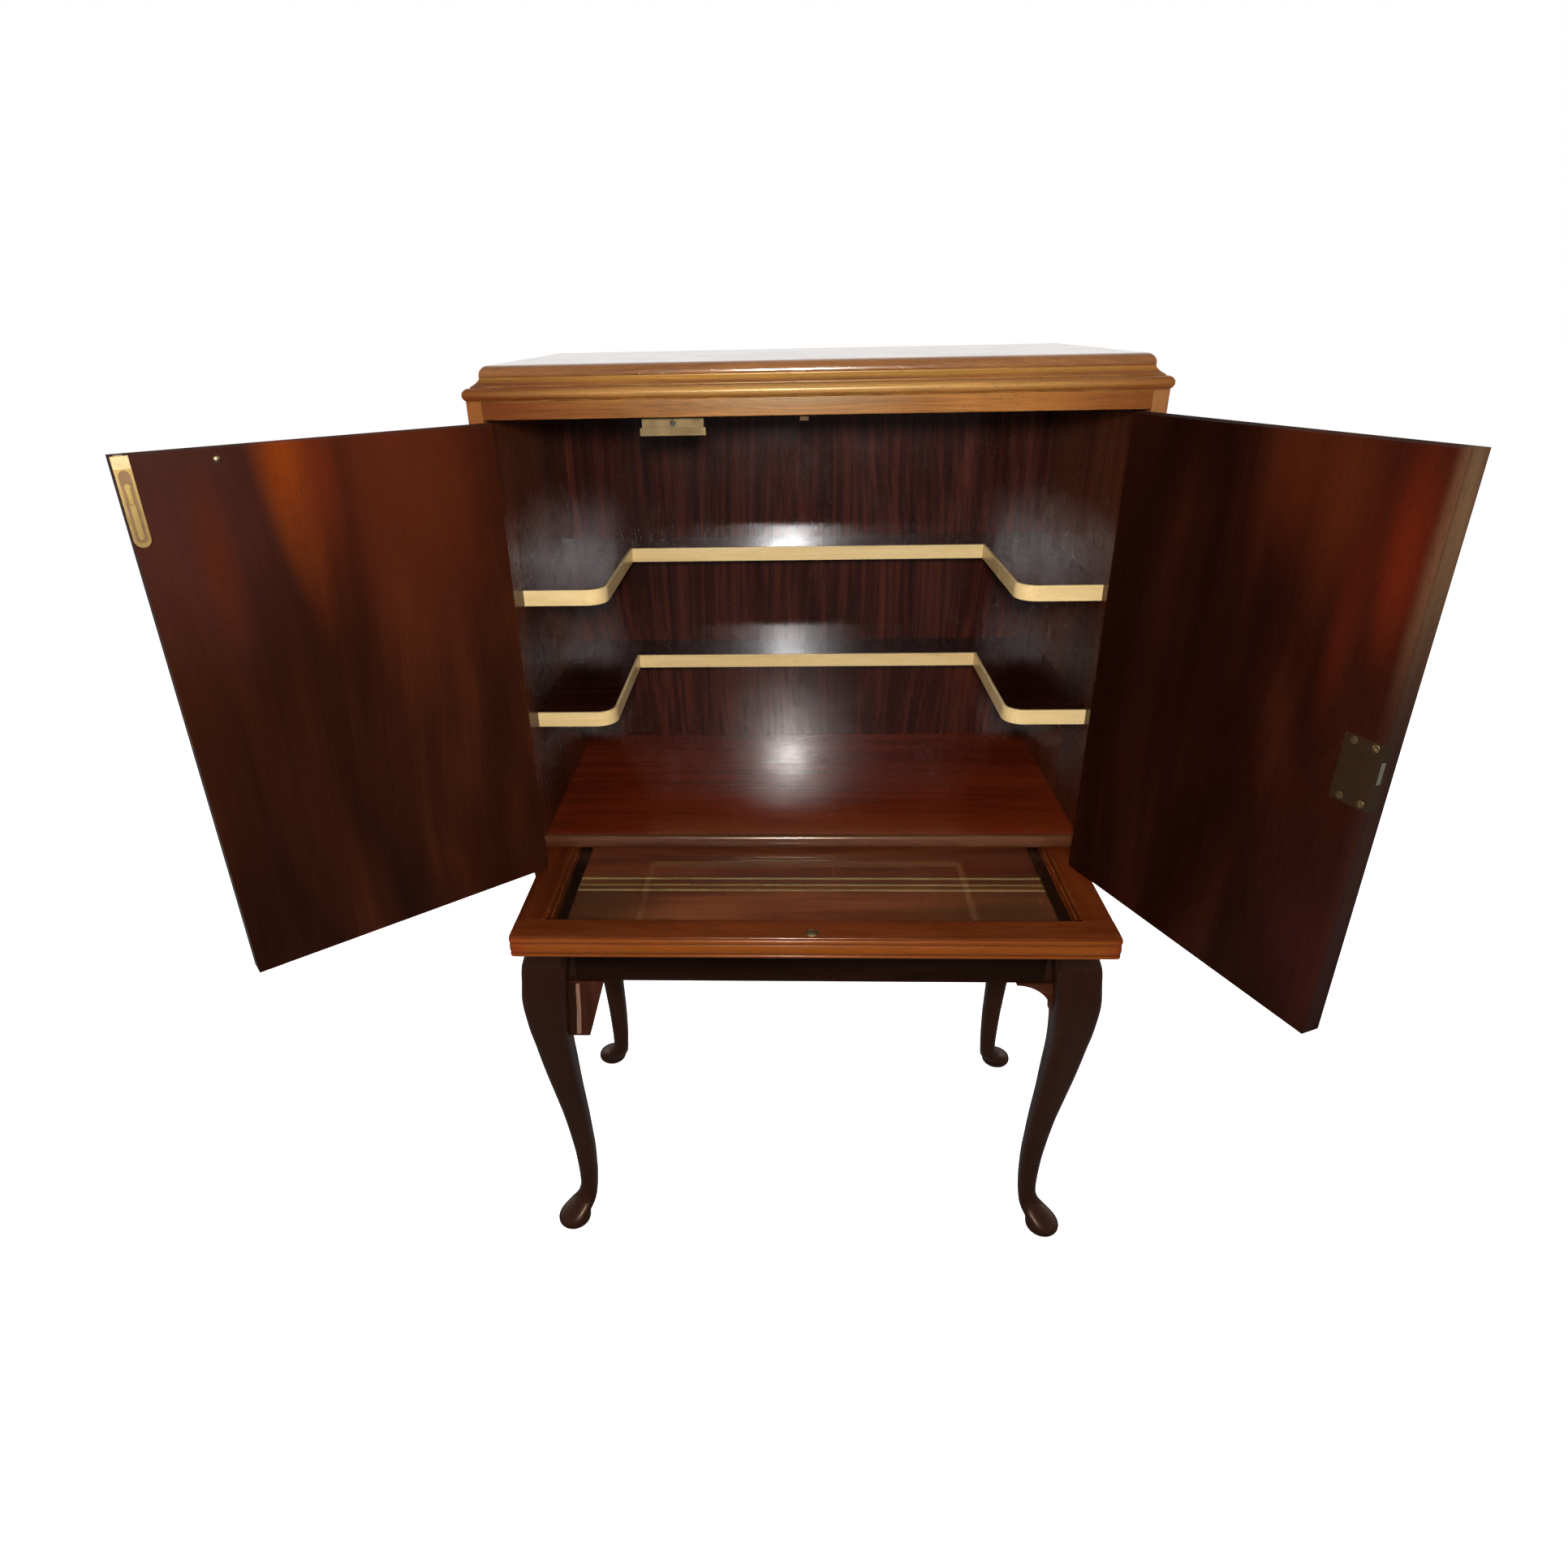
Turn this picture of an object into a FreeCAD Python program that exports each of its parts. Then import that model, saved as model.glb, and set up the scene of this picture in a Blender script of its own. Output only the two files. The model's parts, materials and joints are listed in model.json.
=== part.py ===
import FreeCAD, Part
import math
import os

# A cocktail cabinet on a stand with four cabriole legs. Lengths are millimetres, angles degrees.
# In the measures below x runs to the right, y to the back from the case's front plane, z up from
# the floor. The doors stand open and the glazed slide is drawn out, as the object is shown.

os.makedirs("parts", exist_ok=True)
doc = FreeCAD.newDocument("cocktail_cabinet")
sheet = doc.addObject("Spreadsheet::Sheet", "Sizes")

DRIVING = {
    # case
    "case_width": 760.0,
    "case_depth": 405.0,
    "case_lift": 10.0,
    "case_tall": 600.0,
    "board_thick": 17.0,
    "frieze_deep": 19.0,
    "frieze_thick": 20.0,
    "back_thick": 10.0,
    "groove_deep": 5.0,
    "floor_rise": 37.0,
    "floor_thick": 19.0,
    "floor_front": 35.0,
    "lipping_deep": 10.0,
    # cornice
    "cornice_high": 24.0,
    "cornice_deep": 46.0,
    "cornice_step_height": 1.0,
    "bead_out": 3.2,
    "bead_radius": 7.0,
    "bead_top_inset": 5.0,
    "bead_quirk": 1.5,
    "hollow_sink": 0.6,
    "cap_thick": 12.0,
    "cap_inset": 13.5,
    "cap_round": 10.0,
    # shelves
    "lower_bay": 168.0,
    "middle_bay": 166.0,
    "shelf_thick": 20.0,
    "wing_front": 74.0,
    "wing_wide": 104.0,
    "wing_round": 26.0,
    "centre_deep": 79.0,
    "edging_thick": 4.0,
    # doors
    "door_sill": 23.0,
    "door_thick": 22.0,
    "door_clear": 0.8,
    "door_gap": 2.0,
    "meeting_clear": 1.4,
    "axis_proud": 4.0,
    "left_open": 140.0,
    "right_open": 113.6,
    "panel_margin": 42.0,
    "panel_sunk": 4.0,
    # hinges
    "leaf_long": 63.0,
    "leaf_wide": 17.0,
    "leaf_thick": 2.0,
    "knuckle_radius": 3.5,
    "pin_radius": 1.6,
    "running_clear": 0.05,
    "knuckle_gap": 0.4,
    "hinge_inset": 80.0,
    # screws
    "screw_radius": 1.9,
    "screw_head": 3.6,
    "screw_long": 14.0,
    # keeper under the frieze, with a lip that stops the doors
    "keeper_half": 11.0,
    "keeper_thick": 2.0,
    "stop_half": 5.0,
    "stop_drop": 8.0,
    "stop_clear": 0.6,
    # flush bolt on the left door
    "bolt_plate_wide": 15.0,
    "bolt_plate_long": 80.0,
    "bolt_plate_thick": 2.0,
    "bolt_wide": 7.0,
    "bolt_travel": 10.0,
    "bolt_clear": 0.2,
    "thumb_long": 14.0,
    "thumb_proud": 2.5,
    # lock on the right door, strike on the left one
    "lock_rise": 249.0,
    "lock_wide": 38.0,
    "lock_long": 64.0,
    "lock_deep": 11.0,
    "lock_plate_thick": 2.0,
    "lock_cover_thick": 1.0,
    "lock_screw_inset": 5.0,
    "lock_bolt_rise": 26.0,
    "lock_bolt_long": 21.0,
    "lock_bolt_thick": 5.0,
    "lock_bolt_reach": 22.0,
    "lock_travel": 7.0,
    "strike_thick": 1.5,
    "strike_cover_thick": 1.0,
    # switch under the frieze
    "switch_wide": 70.0,
    "switch_long": 22.0,
    "switch_deep": 16.0,
    "switch_centre": 157.0,
    "switch_clear": 8.0,
    "button_radius": 3.0,
    "button_proud": 4.0,
    # slide
    "slide_ride": 0.3,
    "slide_thick": 26.0,
    "slide_clear": 0.5,
    "slide_drawn_length": 180.0,
    "slide_shut_length": 14.0,
    "slide_stop_clear": 2.0,
    "slide_stop_thick": 15.0,
    "slide_rail": 43.0,
    "slide_stile": 42.0,
    "pane_thick": 5.0,
    "pane_lap": 6.0,
    "tray_thick": 5.0,
    "slide_edge_round": 5.0,
    "pull_inset": 17.0,
    "pull_radius": 8.0,
    "pull_high": 2.3,
    # stand
    "stand_high": 640.0,
    "stand_inset": 6.0,
    "stand_proud": 12.0,
    "stand_back_inset": 40.0,
    "rail_deep": 161.0,
    "rail_thick": 20.0,
    "post_size": 44.0,
    "knee_rise": 86.0,
    "knee_out": 24.0,
    "knee_half": 33.0,
    "foot_radius": 26.0,
    "foot_out": 26.0,
    "foot_high": 18.0,
    "foot_round": 7.2,
    "bracket_long": 60.0,
    "bracket_high": 56.0,
    "bracket_lap": 6.0,
    "bracket_thick": 26.0,
    "bracket_proud": 4.0,
    "ear_long": 61.0,
    "ear_foot_long": 33.0,
    "ear_high": 97.0,
    "block_size": 40.0,
}
for row, (alias, value) in enumerate(DRIVING.items(), start=1):
    sheet.set(f"A{row}", alias)
    sheet.set(f"B{row}", str(value))
    sheet.setAlias(f"B{row}", alias)
doc.recompute()


def size(alias):
    return float(getattr(sheet, alias))


half = size("case_width") / 2
thick = size("board_thick")
inner = half - thick
depth = size("case_depth")
back_face = depth - size("back_thick")
stand_top = size("stand_high")
case_low = stand_top + size("case_lift")
case_high = case_low + size("case_tall")
frieze_low = case_high - size("frieze_deep")
frieze_thick = size("frieze_thick")
floor_top = case_low + size("floor_rise")
floor_low = floor_top - size("floor_thick")
floor_front = size("floor_front")
groove = size("groove_deep")
shelf_thick = size("shelf_thick")
shelf_lower_top = floor_top + size("lower_bay")
shelf_upper_top = shelf_lower_top + size("middle_bay")
wing_front = size("wing_front")
centre_front = back_face - size("centre_deep")
door_low = case_low + size("door_sill")
door_high = frieze_low - size("door_gap")
door_thick = size("door_thick")
door_clear = size("door_clear")
door_reach = inner - size("meeting_clear")
axis_proud = size("axis_proud")
leaf_long = size("leaf_long")
leaf_thick = size("leaf_thick")
leaf_wide = size("leaf_wide")
knuckle_radius = size("knuckle_radius")
pin_radius = size("pin_radius")
screw_radius = size("screw_radius")
stand_half = half - size("stand_inset")
stand_front = size("stand_proud")
stand_back = depth - size("stand_back_inset")
rail_low = stand_top - size("rail_deep")
post = size("post_size")
slide_low = stand_top + size("slide_ride")
slide_high = slide_low + size("slide_thick")
slide_half = inner - size("slide_clear")
slide_stop = back_face - size("slide_stop_thick")
slide_long = slide_stop - size("slide_stop_clear") + size("slide_shut_length")
slide_nose = -size("slide_drawn_length")
slide_tail = slide_nose + slide_long
OPEN = {"left": size("left_open"), "right": size("right_open")}
SIDE = {"left": -1, "right": 1}
UP = FreeCAD.Vector(0, 0, 1)


def leaning(side, along, across):
    """A place on an open door: along it from the hinge axis, across it towards its inner face."""
    angle = math.radians(OPEN[side])
    sign = SIDE[side]
    x = sign * inner - sign * along * math.cos(angle) - sign * across * math.sin(angle)
    y = -axis_proud - along * math.sin(angle) + across * math.cos(angle)
    return x, y


# The frame's origin is on the floor under the middle of the whole object as it stands open.
left_corner = leaning("left", door_reach, axis_proud)
right_outer = leaning("right", door_reach, axis_proud)
right_inner = leaning("right", door_reach, axis_proud + door_thick)
middle_x = (left_corner[0] + right_outer[0]) / 2
middle_y = (depth + right_inner[1]) / 2
SHIFT = FreeCAD.Vector(-middle_x, -middle_y, 0)


def case_place():
    return FreeCAD.Placement(SHIFT, FreeCAD.Rotation())


def door_place(side):
    """From the place of a closed door to the place of the open one, about its hinge axis."""
    axis = FreeCAD.Vector(SIDE[side] * inner, -axis_proud, 0)
    turn = FreeCAD.Rotation(UP, SIDE[side] * OPEN[side])
    return FreeCAD.Placement(axis + SHIFT, turn).multiply(FreeCAD.Placement(-axis, FreeCAD.Rotation()))


def block(x0, x1, y0, y1, z0, z1):
    low = FreeCAD.Vector(min(x0, x1), min(y0, y1), min(z0, z1))
    return Part.makeBox(abs(x1 - x0), abs(y1 - y0), abs(z1 - z0), low)


def rod(radius, start, end):
    axis = end - start
    return Part.makeCylinder(radius, axis.Length, start, axis)


def vector(x, y, z):
    return FreeCAD.Vector(x, y, z)


def joined(solids):
    """Pieces fused into one solid."""
    whole = solids[0]
    for solid in solids[1:]:
        whole = whole.fuse(solid)
    return whole.removeSplitter()


NODES = []


def node(label, obj, placement=None):
    obj.Label = label
    if placement is not None:
        obj.Placement = placement
    NODES.append(obj)
    return obj


def shaped(label, shape, placement=None):
    obj = doc.addObject("Part::Feature", label)
    obj.Shape = shape
    return node(label, obj, (placement or case_place()).multiply(shape.Placement))


def plane_of(body, role):
    for feature in body.Origin.OriginFeatures:
        if feature.Role == role:
            return feature
    raise ValueError(role)


def padded(label, points, length, base):
    """An upright board: its plan is a closed outline, padded upwards by a named length."""
    body = doc.addObject("PartDesign::Body", label)
    sketch = body.newObject("Sketcher::SketchObject", label + "_outline")
    sketch.AttachmentSupport = [(plane_of(body, "XY_Plane"), "")]
    sketch.MapMode = "FlatFace"
    for start, end in zip(points, points[1:] + points[:1]):
        sketch.addGeometry(Part.LineSegment(vector(*start, 0), vector(*end, 0)), False)
    pad = body.newObject("PartDesign::Pad", label + "_pad")
    pad.Profile = sketch
    pad.setExpression("Length", length)
    body.Placement.Base = base
    return body


def rectangle(x0, x1, y0, y1):
    return [(x0, y0), (x1, y0), (x1, y1), (x0, y1)]


def cut_from(label, board, tools):
    """A board with its grooves, recesses and holes taken out."""
    tool = doc.addObject("Part::Feature", label + "_cutter")
    tool.Shape = tools[0] if len(tools) < 2 else Part.makeCompound(tools)
    cut = doc.addObject("Part::Cut", label)
    cut.Base = board
    cut.Tool = tool
    return cut


# Doors and hinges: every hinge part is made at a closed door and then turned with it.
hinge_centres = [door_low + size("hinge_inset"), door_high - size("hinge_inset")]
KNUCKLES = 5
knuckle_long = leaf_long / KNUCKLES


def leaf(side, centre, of_door):
    """One leaf with its knuckles: the case leaf has the outer and middle ones, the door leaf the others."""
    sign = SIDE[side]
    edge = inner - door_clear if of_door else inner
    reach = edge - leaf_thick if of_door else edge + leaf_thick
    low = centre - leaf_long / 2
    pieces = [block(sign * edge, sign * reach, 0, leaf_wide, low, low + leaf_long)]
    bore = pin_radius + (size("running_clear") if of_door else 0)
    axis_x = sign * inner
    for count in range(KNUCKLES):
        if (count % 2 == 1) != of_door:
            continue
        z0 = low + count * knuckle_long
        z1 = z0 + knuckle_long
        if of_door:
            z0 += size("knuckle_gap") / 2
            z1 -= size("knuckle_gap") / 2
        barrel = rod(knuckle_radius, vector(axis_x, -axis_proud, z0), vector(axis_x, -axis_proud, z1))
        strap = block(sign * edge, sign * reach, -axis_proud, 0, z0, z1)
        link = block(axis_x, sign * edge, -axis_proud, -axis_proud / 2, z0, z1) if of_door else None
        pieces.extend(piece for piece in (barrel, strap, link) if piece is not None)
    whole = joined(pieces)
    hole = rod(bore, vector(axis_x, -axis_proud, low), vector(axis_x, -axis_proud, low + leaf_long))
    return whole.cut(hole)


def screw(head, inward):
    """A countersunk wood screw: its head's middle is at head, its shank points inward."""
    head_high = size("screw_head") - screw_radius
    cone = Part.makeCone(size("screw_head"), screw_radius, head_high, head, inward)
    shank = Part.makeCylinder(screw_radius, size("screw_long"), head, inward)
    return cone.fuse(shank).removeSplitter()


leaf_screw_share = 0.6


def leaf_screws(side, centre, of_door):
    sign = SIDE[side]
    face = inner - door_clear if of_door else inner
    inward = vector(-sign if of_door else sign, 0, 0)
    places = [-leaf_long / 3, 0, leaf_long / 3]
    return [
        screw(vector(sign * face, leaf_wide * leaf_screw_share, centre + place), inward)
        for place in places
    ]


case_screws = {side: [s for z in hinge_centres for s in leaf_screws(side, z, False)] for side in SIDE}
door_screws = {side: [s for z in hinge_centres for s in leaf_screws(side, z, True)] for side in SIDE}
case_leaves = {side: [leaf(side, z, False) for z in hinge_centres] for side in SIDE}
door_leaves = {side: [leaf(side, z, True) for z in hinge_centres] for side in SIDE}


def leaf_recess(side, centre, of_door):
    sign = SIDE[side]
    edge = inner - door_clear if of_door else inner
    reach = edge - leaf_thick if of_door else edge + leaf_thick
    return block(sign * edge, sign * reach, 0, leaf_wide, centre - leaf_long / 2, centre + leaf_long / 2)


# Case
SHELVES = {"upper": shelf_upper_top, "lower": shelf_lower_top}
# Back screws hold the panel to the shelves and the case's top.
back_screw_shares = (-0.8, -0.3, 0.3, 0.8)
back_screws = [
    screw(vector(share * inner, depth, height), vector(0, -1, 0))
    for height in ((case_high + frieze_low) / 2, shelf_upper_top - shelf_thick / 2,
                   shelf_lower_top - shelf_thick / 2)
    for share in back_screw_shares
]
shaped("back_screws", Part.makeCompound(back_screws))

for side, sign in SIDE.items():
    label = "side_" + side
    board = doc.addObject("Part::Box", label + "_board")
    board.setExpression("Length", "Sizes.board_thick")
    board.setExpression("Width", "Sizes.case_depth")
    board.setExpression("Height", "Sizes.case_tall")
    board.Placement.Base = vector(min(sign * inner, sign * half), 0, case_low)
    tools = [
        block(sign * inner, sign * (inner + groove), wing_front, back_face, top - shelf_thick, top)
        for top in SHELVES.values()
    ]
    tools.append(block(sign * inner, sign * (inner + groove), floor_front, back_face, floor_low, floor_top))
    tools.extend(leaf_recess(side, z, False) for z in hinge_centres)
    tools.extend(case_screws[side])
    node(label, cut_from(label, board, tools), case_place())

shaped("floor_board", block(-inner - groove, inner + groove, floor_front + size("lipping_deep"), back_face,
                            floor_low, floor_top))
shaped("floor_lipping", block(-inner - groove, inner + groove, floor_front,
                              floor_front + size("lipping_deep"), floor_low, floor_top))

# The bolt keeper is let into the frieze's lower edge, with a lip that stops the doors.
keeper_half = size("keeper_half")
keeper_thick = size("keeper_thick")
stop_half = size("stop_half")
bolt_x = -(inner - door_reach + size("bolt_plate_wide") / 2)
bolt_y = door_thick - size("bolt_plate_thick") - size("bolt_wide") / 2
bolt_slot = size("bolt_wide") / 2 + size("stop_clear")
stop_y = door_thick + size("stop_clear")
keeper_plate = block(bolt_x - keeper_half, bolt_x + keeper_half, bolt_y - keeper_half / 2,
                     stop_y + keeper_thick, frieze_low, frieze_low + keeper_thick)
keeper_lip = block(bolt_x - stop_half, bolt_x + stop_half, stop_y, stop_y + keeper_thick,
                   frieze_low - size("stop_drop"), frieze_low)
keeper_hole = block(bolt_x - bolt_slot, bolt_x + bolt_slot, bolt_y - bolt_slot, bolt_y + bolt_slot,
                    frieze_low, frieze_low + size("bolt_travel") + keeper_thick)
shaped("bolt_keeper", joined([keeper_plate, keeper_lip]).cut(keeper_hole))

frieze = doc.addObject("Part::Box", "frieze_board")
frieze.setExpression("Length", "Sizes.case_width - 2 * Sizes.board_thick")
frieze.setExpression("Width", "Sizes.frieze_thick")
frieze.setExpression("Height", "Sizes.frieze_deep")
frieze.Placement.Base = vector(-inner, 0, frieze_low)
node("frieze_rail", cut_from("frieze_rail", frieze, [keeper_plate, keeper_hole]), case_place())

case_lid = doc.addObject("Part::Box", "case_lid_board")
case_lid.setExpression("Length", "Sizes.case_width - 2 * Sizes.board_thick")
case_lid.setExpression("Width", "Sizes.case_depth - Sizes.frieze_thick - Sizes.back_thick")
case_lid.setExpression("Height", "Sizes.frieze_deep")
case_lid.Placement.Base = vector(-inner, frieze_thick, frieze_low)
node("case_top", cut_from("case_top", case_lid, [keeper_plate, keeper_hole] + back_screws), case_place())

back_board = padded("back_board", rectangle(-inner, inner, back_face, depth), "Sizes.case_tall",
                    vector(0, 0, case_low))
node("back_panel", cut_from("back_panel", back_board, back_screws), case_place())

# Cornice: a cap board over three mitred mouldings, bead below and hollow above
cap_low = case_high + size("cornice_high")
cap_high = cap_low + size("cap_thick")
cap_inset = size("cap_inset")
out = size("bead_out")
cap_board = block(-half + cap_inset, half - cap_inset, cap_inset, depth, cap_low, cap_high)
upper_edges = [
    edge for edge in cap_board.Edges
    if edge.BoundBox.ZMin > cap_high - cap_inset / 2 and edge.CenterOfMass.y < depth - cap_inset / 2
]
shaped("cap_board", cap_board.makeFillet(size("cap_round"), upper_edges))

cornice_deep = size("cornice_deep")
bead_low = case_high + size("cornice_step_height")
bead_radius = size("bead_radius")
bead_inset = size("bead_top_inset")
# The bead is part of a circle whose middle lies behind the case's face.
bead_behind = bead_radius - out
bead_middle = bead_low + math.sqrt(bead_radius ** 2 - bead_behind ** 2)
bead_high = bead_middle + math.sqrt(bead_radius ** 2 - (bead_inset - bead_behind) ** 2)
hollow_low = bead_high + size("bead_quirk")
hollow_high = cap_low - size("bead_quirk")


def cornice_outline():
    """The moulding's section: distance outwards from the case's face, and height."""
    sink = size("hollow_sink")
    middle = vector(-(bead_inset + cap_inset) / 2 - sink, 0, (hollow_low + hollow_high) / 2 - sink)
    bead = Part.Arc(vector(0, 0, bead_low), vector(out, 0, bead_middle),
                    vector(-bead_inset, 0, bead_high)).toShape()
    hollow = Part.Arc(vector(-bead_inset, 0, hollow_low), middle,
                      vector(-cap_inset, 0, hollow_high)).toShape()
    corners = [
        (vector(-bead_inset, 0, bead_high), vector(-bead_inset, 0, hollow_low)),
        (vector(-cap_inset, 0, hollow_high), vector(-cap_inset, 0, cap_low)),
        (vector(-cap_inset, 0, cap_low), vector(-cornice_deep, 0, cap_low)),
        (vector(-cornice_deep, 0, cap_low), vector(-cornice_deep, 0, case_high)),
        (vector(-cornice_deep, 0, case_high), vector(0, 0, case_high)),
        (vector(0, 0, case_high), vector(0, 0, bead_low)),
    ]
    lines = [Part.makeLine(start, end) for start, end in corners]
    edges = [bead, lines[0], hollow] + lines[1:]
    return Part.Face(Part.Wire(Part.__sortEdges__(edges)))


section = cornice_outline()
mitre_span = 2 * (half + depth)
side_run = section.copy()
side_run.translate(vector(half, -out, 0))
side_moulding = side_run.extrude(vector(0, depth + out, 0))
# The front run is the same section turned to face forwards.
front_run = section.copy()
front_run.rotate(vector(0, 0, 0), UP, -90)
front_run.translate(vector(-half - out, 0, 0))
front_moulding = front_run.extrude(vector(2 * (half + out), 0, 0))


def mitre(sign):
    """A prism in front of the mitre plane at one corner: the front moulding keeps what lies in it."""
    corner = vector(sign * (half + out), -out, case_low)
    points = [corner, corner + vector(-sign * mitre_span, mitre_span, 0),
              corner + vector(-sign * mitre_span, 0, 0), corner]
    return Part.Face(Part.makePolygon(points)).extrude(UP * (cap_high - case_low))


left_moulding = side_moulding.mirror(vector(0, 0, 0), vector(1, 0, 0))
back_filler = block(-half + cap_inset, half - cap_inset, depth - cornice_deep, depth, case_high, cap_low)
shaped("cornice_back", back_filler.cut(side_moulding).cut(left_moulding))
shaped("cornice_front", front_moulding.common(mitre(1)).common(mitre(-1)))
for side, sign in SIDE.items():
    run = side_moulding if sign > 0 else left_moulding
    shaped("cornice_" + side, run.cut(mitre(sign)))

# Shelves: wings at the sides, a narrow middle at the back, and a pale edging round the front
edging_thick = size("edging_thick")
wing_edge = inner - size("wing_wide")


def shelf_outline(shrink):
    """The shelf's plan, run past the sides and back, with its front set back by shrink."""
    past = inner + cap_inset
    far = back_face + cap_inset
    corner = size("wing_round") - shrink
    edge = wing_edge + shrink
    front = wing_front + shrink
    centre = centre_front + shrink
    bend = corner * (1 - math.sqrt(1 / 2))
    parts = []
    for sign in (1, -1):
        arc = Part.Arc(vector(sign * (edge + corner), front, 0),
                       vector(sign * (edge + bend), front + bend, 0),
                       vector(sign * edge, front + corner, 0)).toShape()
        parts.extend([
            arc,
            Part.makeLine(vector(sign * past, front, 0), vector(sign * (edge + corner), front, 0)),
            Part.makeLine(vector(sign * edge, front + corner, 0), vector(sign * edge, centre, 0)),
            Part.makeLine(vector(sign * past, front, 0), vector(sign * past, far, 0)),
        ])
    parts.append(Part.makeLine(vector(-edge, centre, 0), vector(edge, centre, 0)))
    parts.append(Part.makeLine(vector(-past, far, 0), vector(past, far, 0)))
    return Part.Face(Part.Wire(Part.__sortEdges__(parts)))


for name, top in SHELVES.items():
    low = top - shelf_thick
    bounds = block(-inner - groove, inner + groove, 0, back_face, low, top)
    plans = []
    for shrink in (0, edging_thick):
        plan = shelf_outline(shrink)
        plan.translate(vector(0, 0, low))
        plans.append(plan.extrude(UP * shelf_thick).common(bounds))
    shaped("shelf_" + name, plans[1].cut(Part.makeCompound(back_screws)))
    shaped("shelf_" + name + "_edging", plans[0].cut(plans[1]))

# Doors
lock_low = door_low + size("lock_rise")
lock_high = lock_low + size("lock_long")
lock_edge = inner - door_reach
lock_box = block(lock_edge, lock_edge + size("lock_wide"), door_thick - size("lock_deep"), door_thick,
                 lock_low, lock_high)
bolt_mid = lock_low + size("lock_bolt_rise") + size("lock_bolt_long") / 2
bolt_depth = door_thick - size("lock_plate_thick") - size("lock_cover_thick") - size("lock_bolt_thick") / 2
bolt_clear = size("bolt_clear")
lock_bolt_reach = size("lock_bolt_reach")


def lock_bolt_block(clear, start, end):
    half_thick = size("lock_bolt_thick") / 2 + clear
    half_long = size("lock_bolt_long") / 2 + clear
    return block(start, end, bolt_depth - half_thick, bolt_depth + half_thick,
                 bolt_mid - half_long, bolt_mid + half_long)


plate_edge = -lock_edge
bolt_plate_low = door_high - size("bolt_plate_long")
bolt_plate = block(plate_edge, plate_edge - size("bolt_plate_wide"), door_thick - size("bolt_plate_thick"),
                   door_thick, bolt_plate_low, door_high)
bolt_half = size("bolt_wide") / 2
bolt_low = bolt_plate_low + size("bolt_wide")
bolt_channel = block(bolt_x - bolt_half - bolt_clear, bolt_x + bolt_half + bolt_clear,
                     bolt_y - bolt_half - bolt_clear, bolt_y + bolt_half,
                     bolt_low - bolt_clear, door_high)
strike_long = size("lock_bolt_long") + 4 * screw_radius
strike = block(plate_edge, plate_edge - size("strike_thick"), bolt_depth - size("lock_bolt_thick"),
               door_thick - size("strike_cover_thick"), bolt_mid - strike_long / 2,
               bolt_mid + strike_long / 2)
strike_hole = lock_bolt_block(2 * bolt_clear, plate_edge, plate_edge - size("lock_travel"))

lock_screw_shares = (0.2, 0.75)
lock_screws = [
    screw(vector(lock_edge + share * size("lock_wide"), door_thick, height), vector(0, -1, 0))
    for share in lock_screw_shares
    for height in (lock_low + size("lock_screw_inset"), lock_high - size("lock_screw_inset"))
]

margin = size("panel_margin")
for side, sign in SIDE.items():
    label = "door_" + side
    hinge_edge = sign * (inner - door_clear)
    free_edge = sign * (inner - door_reach)
    plan = rectangle(min(hinge_edge, free_edge), max(hinge_edge, free_edge), 0, door_thick)
    board = padded(label + "_board", plan,
                   "Sizes.case_tall - Sizes.frieze_deep - Sizes.door_gap - Sizes.door_sill",
                   vector(0, 0, door_low))
    tools = [leaf_recess(side, z, True) for z in hinge_centres] + door_screws[side]
    # The outer face has a sunk field inside a plain border.
    tools.append(block(hinge_edge - sign * margin, free_edge + sign * margin, 0, size("panel_sunk"),
                       door_low + margin, door_high - margin))
    if side == "left":
        tools.extend([bolt_plate, bolt_channel, strike, strike_hole])
    else:
        tools.extend([lock_box] + lock_screws)
    node(label, cut_from(label, board, tools), door_place(side))

# Hinges
shaped("hinge_case_leaves", Part.makeCompound([
    solid.cut(Part.makeCompound(case_screws[side])) for side in SIDE for solid in case_leaves[side]
]))
pins = [
    rod(pin_radius, vector(sign * inner, -axis_proud, z - leaf_long / 2),
        vector(sign * inner, -axis_proud, z + leaf_long / 2))
    for sign in SIDE.values() for z in hinge_centres
]
shaped("hinge_pins", Part.makeCompound(pins))
shaped("hinge_case_screws", Part.makeCompound([s for side in SIDE for s in case_screws[side]]))
for side in SIDE:
    leaves = [solid.cut(Part.makeCompound(door_screws[side])) for solid in door_leaves[side]]
    shaped(f"hinge_{side}_door_leaves", Part.makeCompound(leaves), door_place(side))
    shaped(f"hinge_{side}_door_screws", Part.makeCompound(door_screws[side]), door_place(side))

# Flush bolt: a rod behind a slotted plate, with a thumb piece that stands out through the slot
thumb_share = 0.6
thumb_half = bolt_half * thumb_share
thumb_high = door_high - 2 * size("bolt_travel") - size("stop_drop")
slot = block(bolt_x - thumb_half - bolt_clear, bolt_x + thumb_half + bolt_clear,
             door_thick - size("bolt_plate_thick"), door_thick,
             bolt_low + bolt_half, thumb_high + size("bolt_travel") + bolt_clear)
shaped("bolt_plate", bolt_plate.cut(slot), door_place("left"))
bolt_rod = block(bolt_x - bolt_half, bolt_x + bolt_half, bolt_y - bolt_half,
                 door_thick - size("bolt_plate_thick"), bolt_low, door_high)
thumb = block(bolt_x - thumb_half, bolt_x + thumb_half, door_thick - size("bolt_plate_thick"),
              door_thick + size("thumb_proud"), thumb_high - size("thumb_long"), thumb_high)
shaped("flush_bolt", joined([bolt_rod, thumb]), door_place("left"))

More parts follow.
